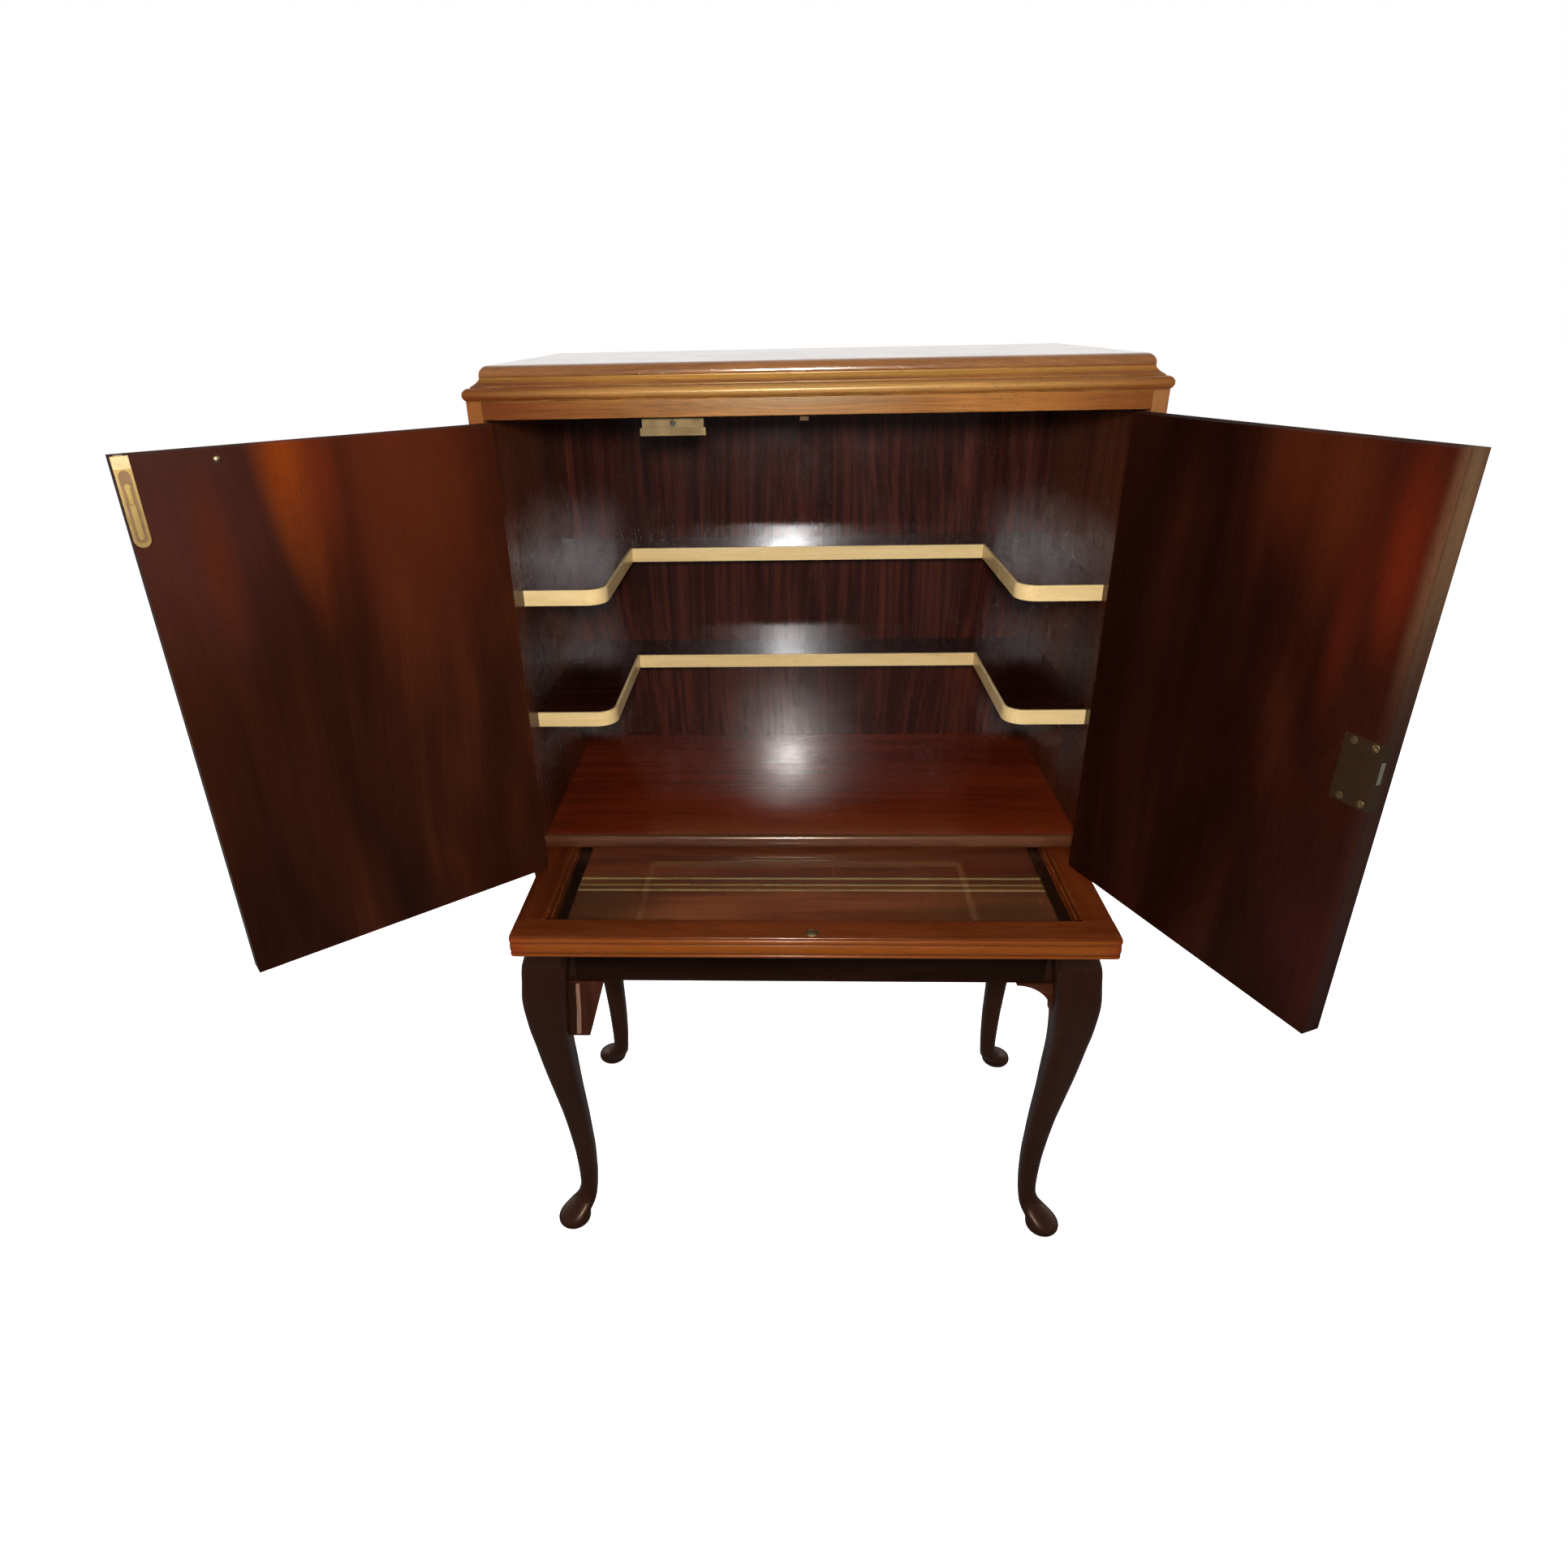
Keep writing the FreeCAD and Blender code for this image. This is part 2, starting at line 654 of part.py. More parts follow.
# Lock: a case with its plate flush in the door's inner face, and a bolt through the door's edge
passage = lock_bolt_block(bolt_clear, lock_edge, lock_edge + lock_bolt_reach + bolt_clear)
shaped("lock_case", lock_box.cut(passage).cut(Part.makeCompound(lock_screws)), door_place("right"))
shaped("lock_bolt", lock_bolt_block(0, lock_edge, lock_edge + lock_bolt_reach), door_place("right"))
shaped("lock_screws", Part.makeCompound(lock_screws), door_place("right"))
shaped("strike_plate", strike.cut(strike_hole), door_place("left"))

# Switch: a brass housing under the case's top, behind the closed doors, with a sprung button
switch_x = -size("switch_centre")
switch_y = door_thick + size("switch_clear")
housing = block(switch_x - size("switch_wide") / 2, switch_x + size("switch_wide") / 2,
                switch_y, switch_y + size("switch_deep"), frieze_low - size("switch_long"), frieze_low)
button_drop_share = 0.4
button_deep_share = 0.6
button_mid = vector(switch_x, switch_y, frieze_low - button_drop_share * size("switch_long"))
button_back = button_mid + vector(0, button_deep_share * size("switch_deep"), 0)
hole_back = button_back + vector(0, size("button_proud"), 0)
hole = rod(size("button_radius") + size("running_clear"), button_mid, hole_back)
button_front = button_mid - vector(0, size("button_proud"), 0)
shaped("switch_housing", housing.cut(hole))
shaped("switch_button", rod(size("button_radius"), button_front, button_back))

# Slide: four rails round a glass pane, a tray board under it and a small pull on the front rail
slide_rail = size("slide_rail")
stile = size("slide_stile")
rail_back = slide_nose + slide_rail
front_bar = block(-slide_half, slide_half, slide_nose, rail_back, slide_low, slide_high)
front_edges = [
    edge for edge in front_bar.Edges
    if edge.BoundBox.XLength > slide_half and edge.CenterOfMass.y < slide_nose + slide_rail / 2
]
shaped("slide_front_rail", front_bar.makeFillet(size("slide_edge_round"), front_edges))
pane_lap = size("pane_lap")
pane_low = slide_high - size("pane_thick")
tray_top = slide_low + size("tray_thick")
pane = block(-slide_half + stile - pane_lap, slide_half - stile + pane_lap,
             rail_back, slide_tail - stile + pane_lap, pane_low, slide_high)
tray = block(-slide_half + stile - pane_lap, slide_half - stile + pane_lap,
             rail_back, slide_tail - stile + pane_lap, slide_low, tray_top)
for side, sign in SIDE.items():
    bar = block(sign * slide_half, sign * (slide_half - stile), rail_back, slide_tail,
                slide_low, slide_high)
    shaped("slide_stile_" + side, bar.cut(pane).cut(tray))
back_bar = block(-slide_half + stile, slide_half - stile, slide_tail - stile, slide_tail,
                 slide_low, slide_high)
shaped("slide_back_rail", back_bar.cut(pane).cut(tray))
shaped("slide_pane", pane)
shaped("slide_tray", tray)
# The pull is a low dome, so that it passes under the doors.
pull_radius = size("pull_radius")
pull_high = size("pull_high")
pull_ball = (pull_radius ** 2 + pull_high ** 2) / (2 * pull_high)
pull_y = slide_nose + size("pull_inset")
ball = Part.makeSphere(pull_ball, vector(0, pull_y, slide_high + pull_high - pull_ball))
pull_space = block(-pull_radius, pull_radius, pull_y - pull_radius, pull_y + pull_radius,
                   slide_high, slide_high + pull_high)
shaped("slide_pull", ball.common(pull_space))

# Stand
for side, sign in SIDE.items():
    shaped("slide_guide_" + side, block(sign * inner, sign * stand_half, 0, back_face,
                                        stand_top, case_low))
shaped("case_rear_rail", block(-inner, inner, slide_stop, back_face, stand_top, floor_low))
rail_thick = size("rail_thick")
WIDE = "Sizes.case_width - 2 * Sizes.stand_inset - 2 * Sizes.post_size"
DEEP = "Sizes.case_depth - Sizes.stand_back_inset + Sizes.stand_proud - 2 * Sizes.post_size"
THICK = "Sizes.rail_thick"
RAILS = {
    "rail_front": (-stand_half + post, -stand_front, WIDE, THICK),
    "rail_back": (-stand_half + post, stand_back - rail_thick, WIDE, THICK),
    "rail_left": (-stand_half, -stand_front + post, THICK, DEEP),
    "rail_right": (stand_half - rail_thick, -stand_front + post, THICK, DEEP),
}
for label, (x, y, long_side, short_side) in RAILS.items():
    rail = doc.addObject("Part::Box", label)
    rail.setExpression("Length", long_side)
    rail.setExpression("Width", short_side)
    rail.setExpression("Height", "Sizes.rail_deep")
    node(label, rail, FreeCAD.Placement(vector(x, y, rail_low) + SHIFT, FreeCAD.Rotation()))

# Cabriole leg: sections from the pad foot up to the post. Each gives shares of the knee's top height,
# of how far the knee stands out from the post's middle on both axes, and of the knee's half width.
leg_section_shares = [
    (0.014, 0.833, 0.545),
    (0.039, 0.604, 0.600),
    (0.064, 0.329, 0.542),
    (0.103, 0.125, 0.455),
    (0.156, 0.046, 0.455),
    (0.221, 0.054, 0.470),
    (0.304, 0.163, 0.506),
    (0.389, 0.313, 0.555),
    (0.474, 0.513, 0.618),
    (0.566, 0.713, 0.703),
    (0.658, 0.892, 0.770),
    (0.735, 0.979, 0.873),
    (0.805, 0.988, 0.955),
    (0.867, 0.854, 0.970),
    (0.912, 0.725, 1.0),
    (0.956, 0.417, 0.909),
    (1.0, 0.0, 0.667),
]
leg_corner_share = 0.45
knee_top = rail_low + size("knee_rise")


def leg_section(height, offset, half_wide):
    """A square with large round corners, about the post's axis moved outwards by offset."""
    corner = half_wide * leg_corner_share
    straight = half_wide - corner
    bend = corner * math.sqrt(1 / 2)
    arcs = []
    for sx, sy in ((1, 1), (-1, 1), (-1, -1), (1, -1)):
        centre = vector(offset + sx * straight, -offset + sy * straight, height)
        beside = vector(sx * corner, 0, 0)
        ahead = vector(0, sy * corner, 0)
        first, last = (beside, ahead) if sx == sy else (ahead, beside)
        through = centre + vector(sx * bend, sy * bend, 0)
        arcs.append(Part.Arc(centre + first, through, centre + last).toShape())
    closed = []
    for arc, following in zip(arcs, arcs[1:] + arcs[:1]):
        closed.append(arc)
        closed.append(Part.makeLine(arc.Vertexes[-1].Point, following.Vertexes[0].Point))
    return Part.Wire(closed)


def leg():
    """The right front leg about its post's axis: post, cabriole and pad foot."""
    knee_out = size("knee_out")
    knee_half = size("knee_half")
    sections = [
        leg_section(height * knee_top, offset * knee_out, half_wide * knee_half)
        for height, offset, half_wide in leg_section_shares
    ]
    shaft = Part.makeLoft(sections, True, False)
    stem = block(-post / 2, post / 2, -post / 2, post / 2, rail_low, stand_top)
    foot_high = size("foot_high")
    foot_middle = vector(size("foot_out"), -size("foot_out"), 0)
    pad = Part.makeCylinder(size("foot_radius"), foot_high, foot_middle)
    rims = [edge for edge in pad.Edges if len(edge.Vertexes) == 1]
    pad = pad.makeFillet(size("foot_round"), rims)
    return shaft.fuse(stem).fuse(pad).removeSplitter()


leg_solid = leg()
legs = {}
for side, sign in SIDE.items():
    for row, y, flip in (("front", -stand_front + post / 2, 1), ("back", stand_back - post / 2, -1)):
        turned = leg_solid.copy()
        if sign < 0:
            turned = turned.mirror(vector(0, 0, 0), vector(1, 0, 0))
        if flip < 0:
            turned = turned.mirror(vector(0, 0, 0), vector(0, 1, 0))
        turned.translate(vector(sign * (stand_half - post / 2), y, 0))
        legs[f"leg_{row}_{side}"] = turned
for label, solid in legs.items():
    shaped(label, solid)

# Knee brackets fill the corners between each leg and the rail beside it. The left front one is a tall
# tapered ear, the others have a hollow lower edge.
bracket_long = size("bracket_long")
bracket_high = size("bracket_high")
bracket_lap = size("bracket_lap")
bracket_thick = size("bracket_thick")
bracket_proud = size("bracket_proud")


def bracket():
    """A bracket in the x-z plane with its high square corner at the origin and a hollow lower edge."""
    radius = bracket_long - bracket_lap
    bend = radius * math.sqrt(1 / 2)
    hollow_middle = vector(-bracket_long, 0, -bracket_high)
    low = vector(-bracket_lap, 0, -bracket_high)
    toe = vector(-bracket_long, 0, radius - bracket_high)
    curve = Part.Arc(low, hollow_middle + vector(bend, 0, bend), toe).toShape()
    corners = [toe, vector(-bracket_long, 0, 0), vector(0, 0, 0), vector(0, 0, -bracket_high), low]
    lines = [Part.makeLine(start, end) for start, end in zip(corners, corners[1:])]
    return Part.Face(Part.Wire([curve] + lines)).extrude(vector(0, bracket_thick, 0))


def ear():
    """The tall bracket, drawn for the left: upright beside the leg, its free edge leaning to the leg."""
    high = size("ear_high")
    points = [vector(0, 0, 0), vector(size("ear_long"), 0, 0), vector(size("ear_foot_long"), 0, -high),
              vector(0, 0, -high), vector(0, 0, 0)]
    return Part.Face(Part.makePolygon(points)).extrude(vector(0, bracket_thick, 0))


for side, sign in SIDE.items():
    piece = bracket() if sign > 0 else ear()
    piece.translate(vector(sign * (stand_half - post / 2), -stand_front - bracket_proud, rail_low))
    shaped(f"bracket_front_{side}", piece.cut(legs["leg_front_" + side]))
    for row, flip, y in (("front", 1, -stand_front + post / 2), ("back", -1, stand_back - post / 2)):
        piece = bracket()
        piece.rotate(vector(0, 0, 0), UP, 90)
        # Now the square corner is at the origin, the piece runs to -y and its thickness to -x.
        if flip > 0:
            piece = piece.mirror(vector(0, 0, 0), vector(0, 1, 0))
        if sign < 0:
            piece = piece.mirror(vector(0, 0, 0), vector(1, 0, 0))
        piece.translate(vector(sign * (stand_half + bracket_proud), y, rail_low))
        shaped(f"bracket_side_{row}_{side}", piece.cut(legs[f"leg_{row}_{side}"]))

# Triangular blocks are glued behind the rails at the four corners of the stand.
blocks = []
block_size = size("block_size")
for sx in (1, -1):
    for y, sy in ((-stand_front + rail_thick, 1), (stand_back - rail_thick, -1)):
        x = sx * (stand_half - post)
        corner = vector(x, y, stand_top - block_size)
        inward = vector(-sx * block_size, 0, 0)
        behind = vector(0, sy * (post - rail_thick), 0)
        points = [corner, corner + inward, corner + behind, corner]
        blocks.append(Part.Face(Part.makePolygon(points)).extrude(UP * block_size))
shaped("corner_blocks", Part.makeCompound(blocks))

doc.recompute()
for obj in doc.Objects:
    if "Invalid" in obj.State or "Error" in obj.State:
        raise RuntimeError(f"{obj.Label} failed")
for obj in NODES:
    if obj.Shape.isNull() or not obj.Shape.isValid():
        raise RuntimeError(f"{obj.Label} has no sound shape")
    obj.Shape.exportStep(f"parts/{obj.Label}.step")
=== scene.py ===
import json
import math

import bmesh
import bpy
from mathutils import Matrix, Vector


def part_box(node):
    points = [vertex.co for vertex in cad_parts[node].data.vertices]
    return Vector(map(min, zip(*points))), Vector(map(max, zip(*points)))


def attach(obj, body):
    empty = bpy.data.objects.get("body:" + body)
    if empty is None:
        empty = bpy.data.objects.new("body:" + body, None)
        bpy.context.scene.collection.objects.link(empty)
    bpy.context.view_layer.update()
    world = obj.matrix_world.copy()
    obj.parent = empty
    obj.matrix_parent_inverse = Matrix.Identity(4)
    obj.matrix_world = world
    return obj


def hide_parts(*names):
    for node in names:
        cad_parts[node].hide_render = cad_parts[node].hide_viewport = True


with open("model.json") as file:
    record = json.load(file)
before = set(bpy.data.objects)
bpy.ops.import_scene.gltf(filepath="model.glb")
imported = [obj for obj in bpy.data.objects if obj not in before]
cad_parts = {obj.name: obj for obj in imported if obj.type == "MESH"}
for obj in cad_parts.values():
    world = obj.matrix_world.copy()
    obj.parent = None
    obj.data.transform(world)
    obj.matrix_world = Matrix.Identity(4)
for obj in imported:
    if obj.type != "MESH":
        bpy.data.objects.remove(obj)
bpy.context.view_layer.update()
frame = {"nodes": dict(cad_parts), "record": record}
NODES = frame["nodes"]
RECORD = frame["record"]
BODY = {node: body for body, nodes in RECORD["behaviour"]["bodies"].items() for node in nodes}
SLOT = {row["node"]: row["material_slot"] for row in RECORD["subparts"]}
MM = 0.001

# The cabinet's own measures: x from the case's middle, y from the case's front, z from the floor, in mm.
CASE_X = (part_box("side_left")[0].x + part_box("side_right")[1].x) / 2
CASE_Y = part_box("side_left")[0].y


def at(x, y, z):
    """A point in the cabinet's own measures as a point of the frame."""
    return Vector((CASE_X + x * MM, CASE_Y + y * MM, z * MM))


# Nodes that the materials are made of


def feed(tree, socket, value):
    """Links another node's output to an input, or sets the input to a plain value."""
    if isinstance(value, bpy.types.NodeSocket):
        tree.links.new(value, socket)
    else:
        socket.default_value = value


def put(tree, kind, inputs=None, **settings):
    """A new shader node with its inputs and settings."""
    node = tree.nodes.new("ShaderNode" + kind)
    for key, value in settings.items():
        setattr(node, key, value)
    for key, value in (inputs or {}).items():
        feed(tree, node.inputs[key], value)
    return node


def attribute(tree, name):
    """A number that each face carries."""
    return put(tree, "Attribute", attribute_name=name).outputs["Fac"]


def calc(tree, operation, first, second=0.0):
    """One operation on two numbers."""
    return put(tree, "Math", {0: first, 1: second}, operation=operation).outputs[0]


def vector_calc(tree, operation, first, second):
    """One operation on two vectors."""
    return put(tree, "VectorMath", {0: first, 1: second}, operation=operation).outputs[0]


def thrice(tree, value):
    """The same number on all three axes."""
    return put(tree, "CombineXYZ", {0: value, 1: value, 2: value}).outputs[0]


def mix(tree, share, first, second):
    """The second colour over the first, by the share."""
    node = put(tree, "Mix", data_type="RGBA", blend_type="MIX")
    feed(tree, node.inputs[0], share)
    for key, colour in ((6, first), (7, second)):
        feed(tree, node.inputs[key], colour if isinstance(colour, bpy.types.NodeSocket) else (*colour, 1.0))
    return node.outputs[2]


def spread(tree, value, low, high, to_low=0.0, to_high=1.0, smooth=False):
    """A number moved from one range to another, held at its ends."""
    kind = "SMOOTHSTEP" if smooth else "LINEAR"
    inputs = {"Value": value, "From Min": low, "From Max": high, "To Min": to_low, "To Max": to_high}
    return put(tree, "MapRange", inputs, interpolation_type=kind, clamp=True).outputs[0]


def speckle(tree, where, scales, detail=2.0, rough=0.5, distort=0.0):
    """Noise with its own scale, per metre, along each axis."""
    moved = put(tree, "Mapping", {"Vector": where, "Scale": scales}).outputs[0]
    inputs = {"Vector": moved, "Scale": 1.0, "Detail": detail, "Roughness": rough, "Distortion": distort}
    return put(tree, "TexNoise", inputs).outputs[0]


def centred(tree, noise, reach):
    """Noise about zero instead of a half, made wider or narrower by the reach."""
    return calc(tree, "MULTIPLY", calc(tree, "SUBTRACT", noise, 0.5), reach)


def grain_scales(axis, across, along):
    """Noise scales that differ along the grain."""
    scales = [across] * 3
    scales["XYZ".index(axis)] = along
    return scales


def even_scales(scale):
    """Noise scales that are the same on all axes."""
    return grain_scales("X", scale, scale)


def blank(name):
    """A new material without nodes, and its tree."""
    material = bpy.data.materials.new(name)
    material.use_nodes = True
    tree = material.node_tree
    tree.nodes.clear()
    return material, tree


BOARDS_APART = (11.3, 7.9, 5.1)


def seat(tree):
    """Coordinates of the frame, shifted from board to board, and as they are."""
    place = put(tree, "TexCoord").outputs["Object"]
    inputs = {0: BOARDS_APART, "Scale": attribute(tree, "board")}
    apart = put(tree, "VectorMath", inputs, operation="SCALE").outputs[0]
    return vector_calc(tree, "ADD", place, apart), place


# How often each pattern of the wood comes per metre, across the grain and along it.
SWAY_GRAIN = (4.0, 1.6)
FIGURE_GRAIN = (9.0, 2.2)
RIBBON_ALONG = 2.2
FIBRE_GRAIN = (520.0, 9.0)
PORE_GRAIN = (1500.0, 95.0)
RUBBED_SCALE, HAZE_SCALE = 38.0, 14.0
# How far the grain sways in all, in m.
SWAY = 0.09
# Where the dark, middle and light tones stand on the scale from dark to light.
DARK_AT, MIDDLE_AT, LIGHT_AT = 0.12, 0.5, 0.9
TINT_RIM, TINT_CORE, TINT_RAGGED, TINT_SHADE = 1.05, 0.05, 0.45, 0.55
NO_PORE, FULL_PORE, PORE_SHADE, PORE_ROUGHNESS = 0.36, 0.30, 0.35, 0.25
RUBBED_FROM, RUBBED_TO, RUBBED_LEAST, RUBBED_SHARE = 0.42, 0.62, 0.15, 0.35
HAZE_ROUGHNESS, COAT_ROUGHNESS, POLISH_IOR = 0.16, 0.08, 1.5
DULL_FADE, DULL_ROUGHNESS = 0.0004, 0.75
FIBRE_HEIGHT, BUMP_STRENGTH = 0.35, 0.35


def tinted(tree, colour, level, place, stripes, tint):
    """The colour with one soft patch whose rim follows the stripes; some patches are painted light and shade,
    others plain colour.
    """
    spot, reach, tone, share = tint
    away = vector_calc(tree, "SUBTRACT", place, spot)
    scaled = vector_calc(tree, "MULTIPLY", away, tuple(1 / part for part in reach))
    length = put(tree, "VectorMath", {0: scaled}, operation="LENGTH").outputs["Value"]
    edge = calc(tree, "ADD", length, centred(tree, stripes, TINT_RAGGED))
    inside = spread(tree, edge, TINT_RIM, TINT_CORE, 0.0, share, smooth=True)
    return mix(tree, inside, colour, mix(tree, level, tuple(part * TINT_SHADE for part in tone), tone))


def wood(name, axis, tones, tints, figure=0.55, ribbon=0.5, fibre=0.35, ribbon_size=0.014, pores=0.55,
         rough=0.26, shine=0.25, coat=0.12, relief=0.00012, tinge=(1.0, 0.82, 0.66), dull_above=None):
    """Polished wood: broad figure, ribbon stripes, fibres and open pores along the grain.

    The tones are dark, middle, light and worn. Above the height dull_above it has no polish.
    """
    dark, middle, light, worn = tones
    material, tree = blank(name)
    where, place = seat(tree)
    sway = speckle(tree, where, grain_scales(axis, *SWAY_GRAIN), detail=1.0)
    waved = vector_calc(tree, "ADD", where, thrice(tree, centred(tree, sway, SWAY)))
    broad = speckle(tree, waved, grain_scales(axis, *FIGURE_GRAIN), distort=0.4)
    stripes = speckle(tree, waved, grain_scales(axis, 1 / ribbon_size, RIBBON_ALONG), detail=1.5, rough=0.45)
    fibres = speckle(tree, waved, grain_scales(axis, *FIBRE_GRAIN), detail=3.0, rough=0.62)
    dashes = speckle(tree, waved, grain_scales(axis, *PORE_GRAIN), detail=1.0)
    patches = calc(tree, "ADD", centred(tree, broad, figure * 2), centred(tree, stripes, ribbon * 2))
    level = calc(tree, "ADD", patches, calc(tree, "ADD", centred(tree, fibres, fibre * 2), 0.5))
    ramp = put(tree, "ValToRGB", {0: level})
    stops = ramp.color_ramp.elements
    stops[0].position, stops[0].color = DARK_AT, (*dark, 1.0)
    stops[1].position, stops[1].color = LIGHT_AT, (*light, 1.0)
    stops.new(MIDDLE_AT).color = (*middle, 1.0)
    colour = ramp.outputs[0]
    for tint in tints:
        colour = tinted(tree, colour, level, place, stripes, tint)
    hole = spread(tree, dashes, NO_PORE, FULL_PORE, 0.0, pores, smooth=True)
    colour = mix(tree, hole, colour, tuple(part * PORE_SHADE for part in dark))
    patchy = speckle(tree, where, even_scales(RUBBED_SCALE), detail=3.0)
    rubbed = spread(tree, patchy, RUBBED_FROM, RUBBED_TO, RUBBED_LEAST, 1.0, smooth=True)
    share = calc(tree, "MULTIPLY", calc(tree, "MULTIPLY", attribute(tree, "wear"), rubbed), RUBBED_SHARE)
    colour = mix(tree, share, colour, worn)
    haze = speckle(tree, where, even_scales(HAZE_SCALE), detail=3.0, rough=0.55)
    gloss = calc(tree, "ADD", centred(tree, haze, HAZE_ROUGHNESS), rough)
    gloss = calc(tree, "ADD", gloss, calc(tree, "MULTIPLY", hole, PORE_ROUGHNESS))
    if dull_above:
        rise = put(tree, "SeparateXYZ", {0: place}).outputs["Z"]
        dull = spread(tree, rise, dull_above, dull_above + DULL_FADE, 0.0, DULL_ROUGHNESS)
        gloss = calc(tree, "ADD", gloss, dull)
    height = calc(tree, "SUBTRACT", calc(tree, "MULTIPLY", fibres, FIBRE_HEIGHT), hole)
    bump = put(tree, "Bump", {"Strength": BUMP_STRENGTH, "Distance": relief, "Height": height}).outputs[0]
    shader = put(tree, "BsdfPrincipled", {
        "Base Color": colour, "Roughness": gloss, "Normal": bump, "Specular IOR Level": shine,
        "Specular Tint": (*tinge, 1.0), "Coat Weight": coat, "Coat Roughness": COAT_ROUGHNESS,
        "IOR": POLISH_IOR})
    put(tree, "OutputMaterial", {"Surface": shader.outputs[0]})
    return material


PATCH_SCALE, MARK_GRAIN = 60.0, (1800.0, 60.0)
CLEAN, TARNISHED, MARK_SHARE = 0.38, 0.68, 0.25
EDGE_SHARE, EDGE_BRIGHTER = 0.6, 1.35
PATCH_ROUGHNESS, PATCH_MIDDLE = 0.25, 0.12


def metal(name, bright, dull, rough, tarnish=0.45):
    """Old brass: dulled in patches, with fine rubbing marks and brighter edges."""
    material, tree = blank(name)
    where, _ = seat(tree)
    patches = speckle(tree, where, even_scales(PATCH_SCALE), detail=4.0, rough=0.6)
    marks = speckle(tree, where, grain_scales("X", *MARK_GRAIN), rough=0.6)
    colour = mix(tree, spread(tree, patches, CLEAN, TARNISHED, 0.0, tarnish, smooth=True), bright, dull)
    colour = mix(tree, calc(tree, "MULTIPLY", marks, MARK_SHARE), colour, dull)
    rubbed = calc(tree, "MULTIPLY", attribute(tree, "wear"), EDGE_SHARE)
    colour = mix(tree, rubbed, colour, tuple(min(1.0, part * EDGE_BRIGHTER) for part in bright))
    gloss = calc(tree, "ADD", calc(tree, "MULTIPLY", patches, PATCH_ROUGHNESS), rough - PATCH_MIDDLE)
    bump = put(tree, "Bump", {"Strength": 0.25, "Distance": 0.00005, "Height": marks}).outputs[0]
    shader = put(tree, "BsdfPrincipled", {
        "Base Color": colour, "Metallic": 1.0, "Roughness": gloss, "Normal": bump})
    put(tree, "OutputMaterial", {"Surface": shader.outputs[0]})
    return material


SMEAR_SCALES = (9.0, 16.0, 9.0)
CLEAR, SMEARED, SMEAR_ROUGHNESS = 0.45, 0.75, 0.05


def clear_glass(name):
    """Clear, slightly smeared glass that lets the lamps' light through."""
    material, tree = blank(name)
    where, _ = seat(tree)
    smears = speckle(tree, where, SMEAR_SCALES, detail=4.0, rough=0.55)
    gloss = spread(tree, smears, CLEAR, SMEARED, 0.0, SMEAR_ROUGHNESS, smooth=True)
    shader = put(tree, "BsdfPrincipled", {
        "Base Color": (0.93, 0.97, 0.94, 1.0), "Roughness": gloss, "Transmission Weight": 1.0, "IOR": 1.33})
    through = put(tree, "BsdfTransparent", {"Color": (0.9, 0.94, 0.91, 1.0)})
    shade = put(tree, "LightPath").outputs["Is Shadow Ray"]
    both = put(tree, "MixShader", {0: shade, 1: shader.outputs[0], 2: through.outputs[0]})
    put(tree, "OutputMaterial", {"Surface": both.outputs[0]})
    return material


MOTTLE_SCALE = 220.0
PLASTIC_TONES = ((0.006, 0.004, 0.003), (0.03, 0.018, 0.01))
PLASTIC_WORN, PLASTIC_WORN_SHARE = (0.09, 0.06, 0.04), 0.4
MOTTLE_FROM, MOTTLE_TO, GLOSSIEST, DULLEST = 0.3, 0.7, 0.22, 0.4


def plastic(name):
    """Dark, finely mottled plastic with rubbed edges."""
    material, tree = blank(name)
    where, _ = seat(tree)
    mottle = speckle(tree, where, even_scales(MOTTLE_SCALE), detail=3.0, rough=0.6)
    colour = mix(tree, mottle, *PLASTIC_TONES)
    rubbed = calc(tree, "MULTIPLY", attribute(tree, "wear"), PLASTIC_WORN_SHARE)
    colour = mix(tree, rubbed, colour, PLASTIC_WORN)
    gloss = spread(tree, mottle, MOTTLE_FROM, MOTTLE_TO, GLOSSIEST, DULLEST)
    bump = put(tree, "Bump", {"Strength": 0.2, "Distance": 0.00004, "Height": mottle}).outputs[0]
    shader = put(tree, "BsdfPrincipled", {"Base Color": colour, "Roughness": gloss, "Normal": bump})
    put(tree, "OutputMaterial", {"Surface": shader.outputs[0]})
    return material


# The doors' polish ends just under their top edges, in m above the floor.
DOOR_POLISH_TOP = 1.2284

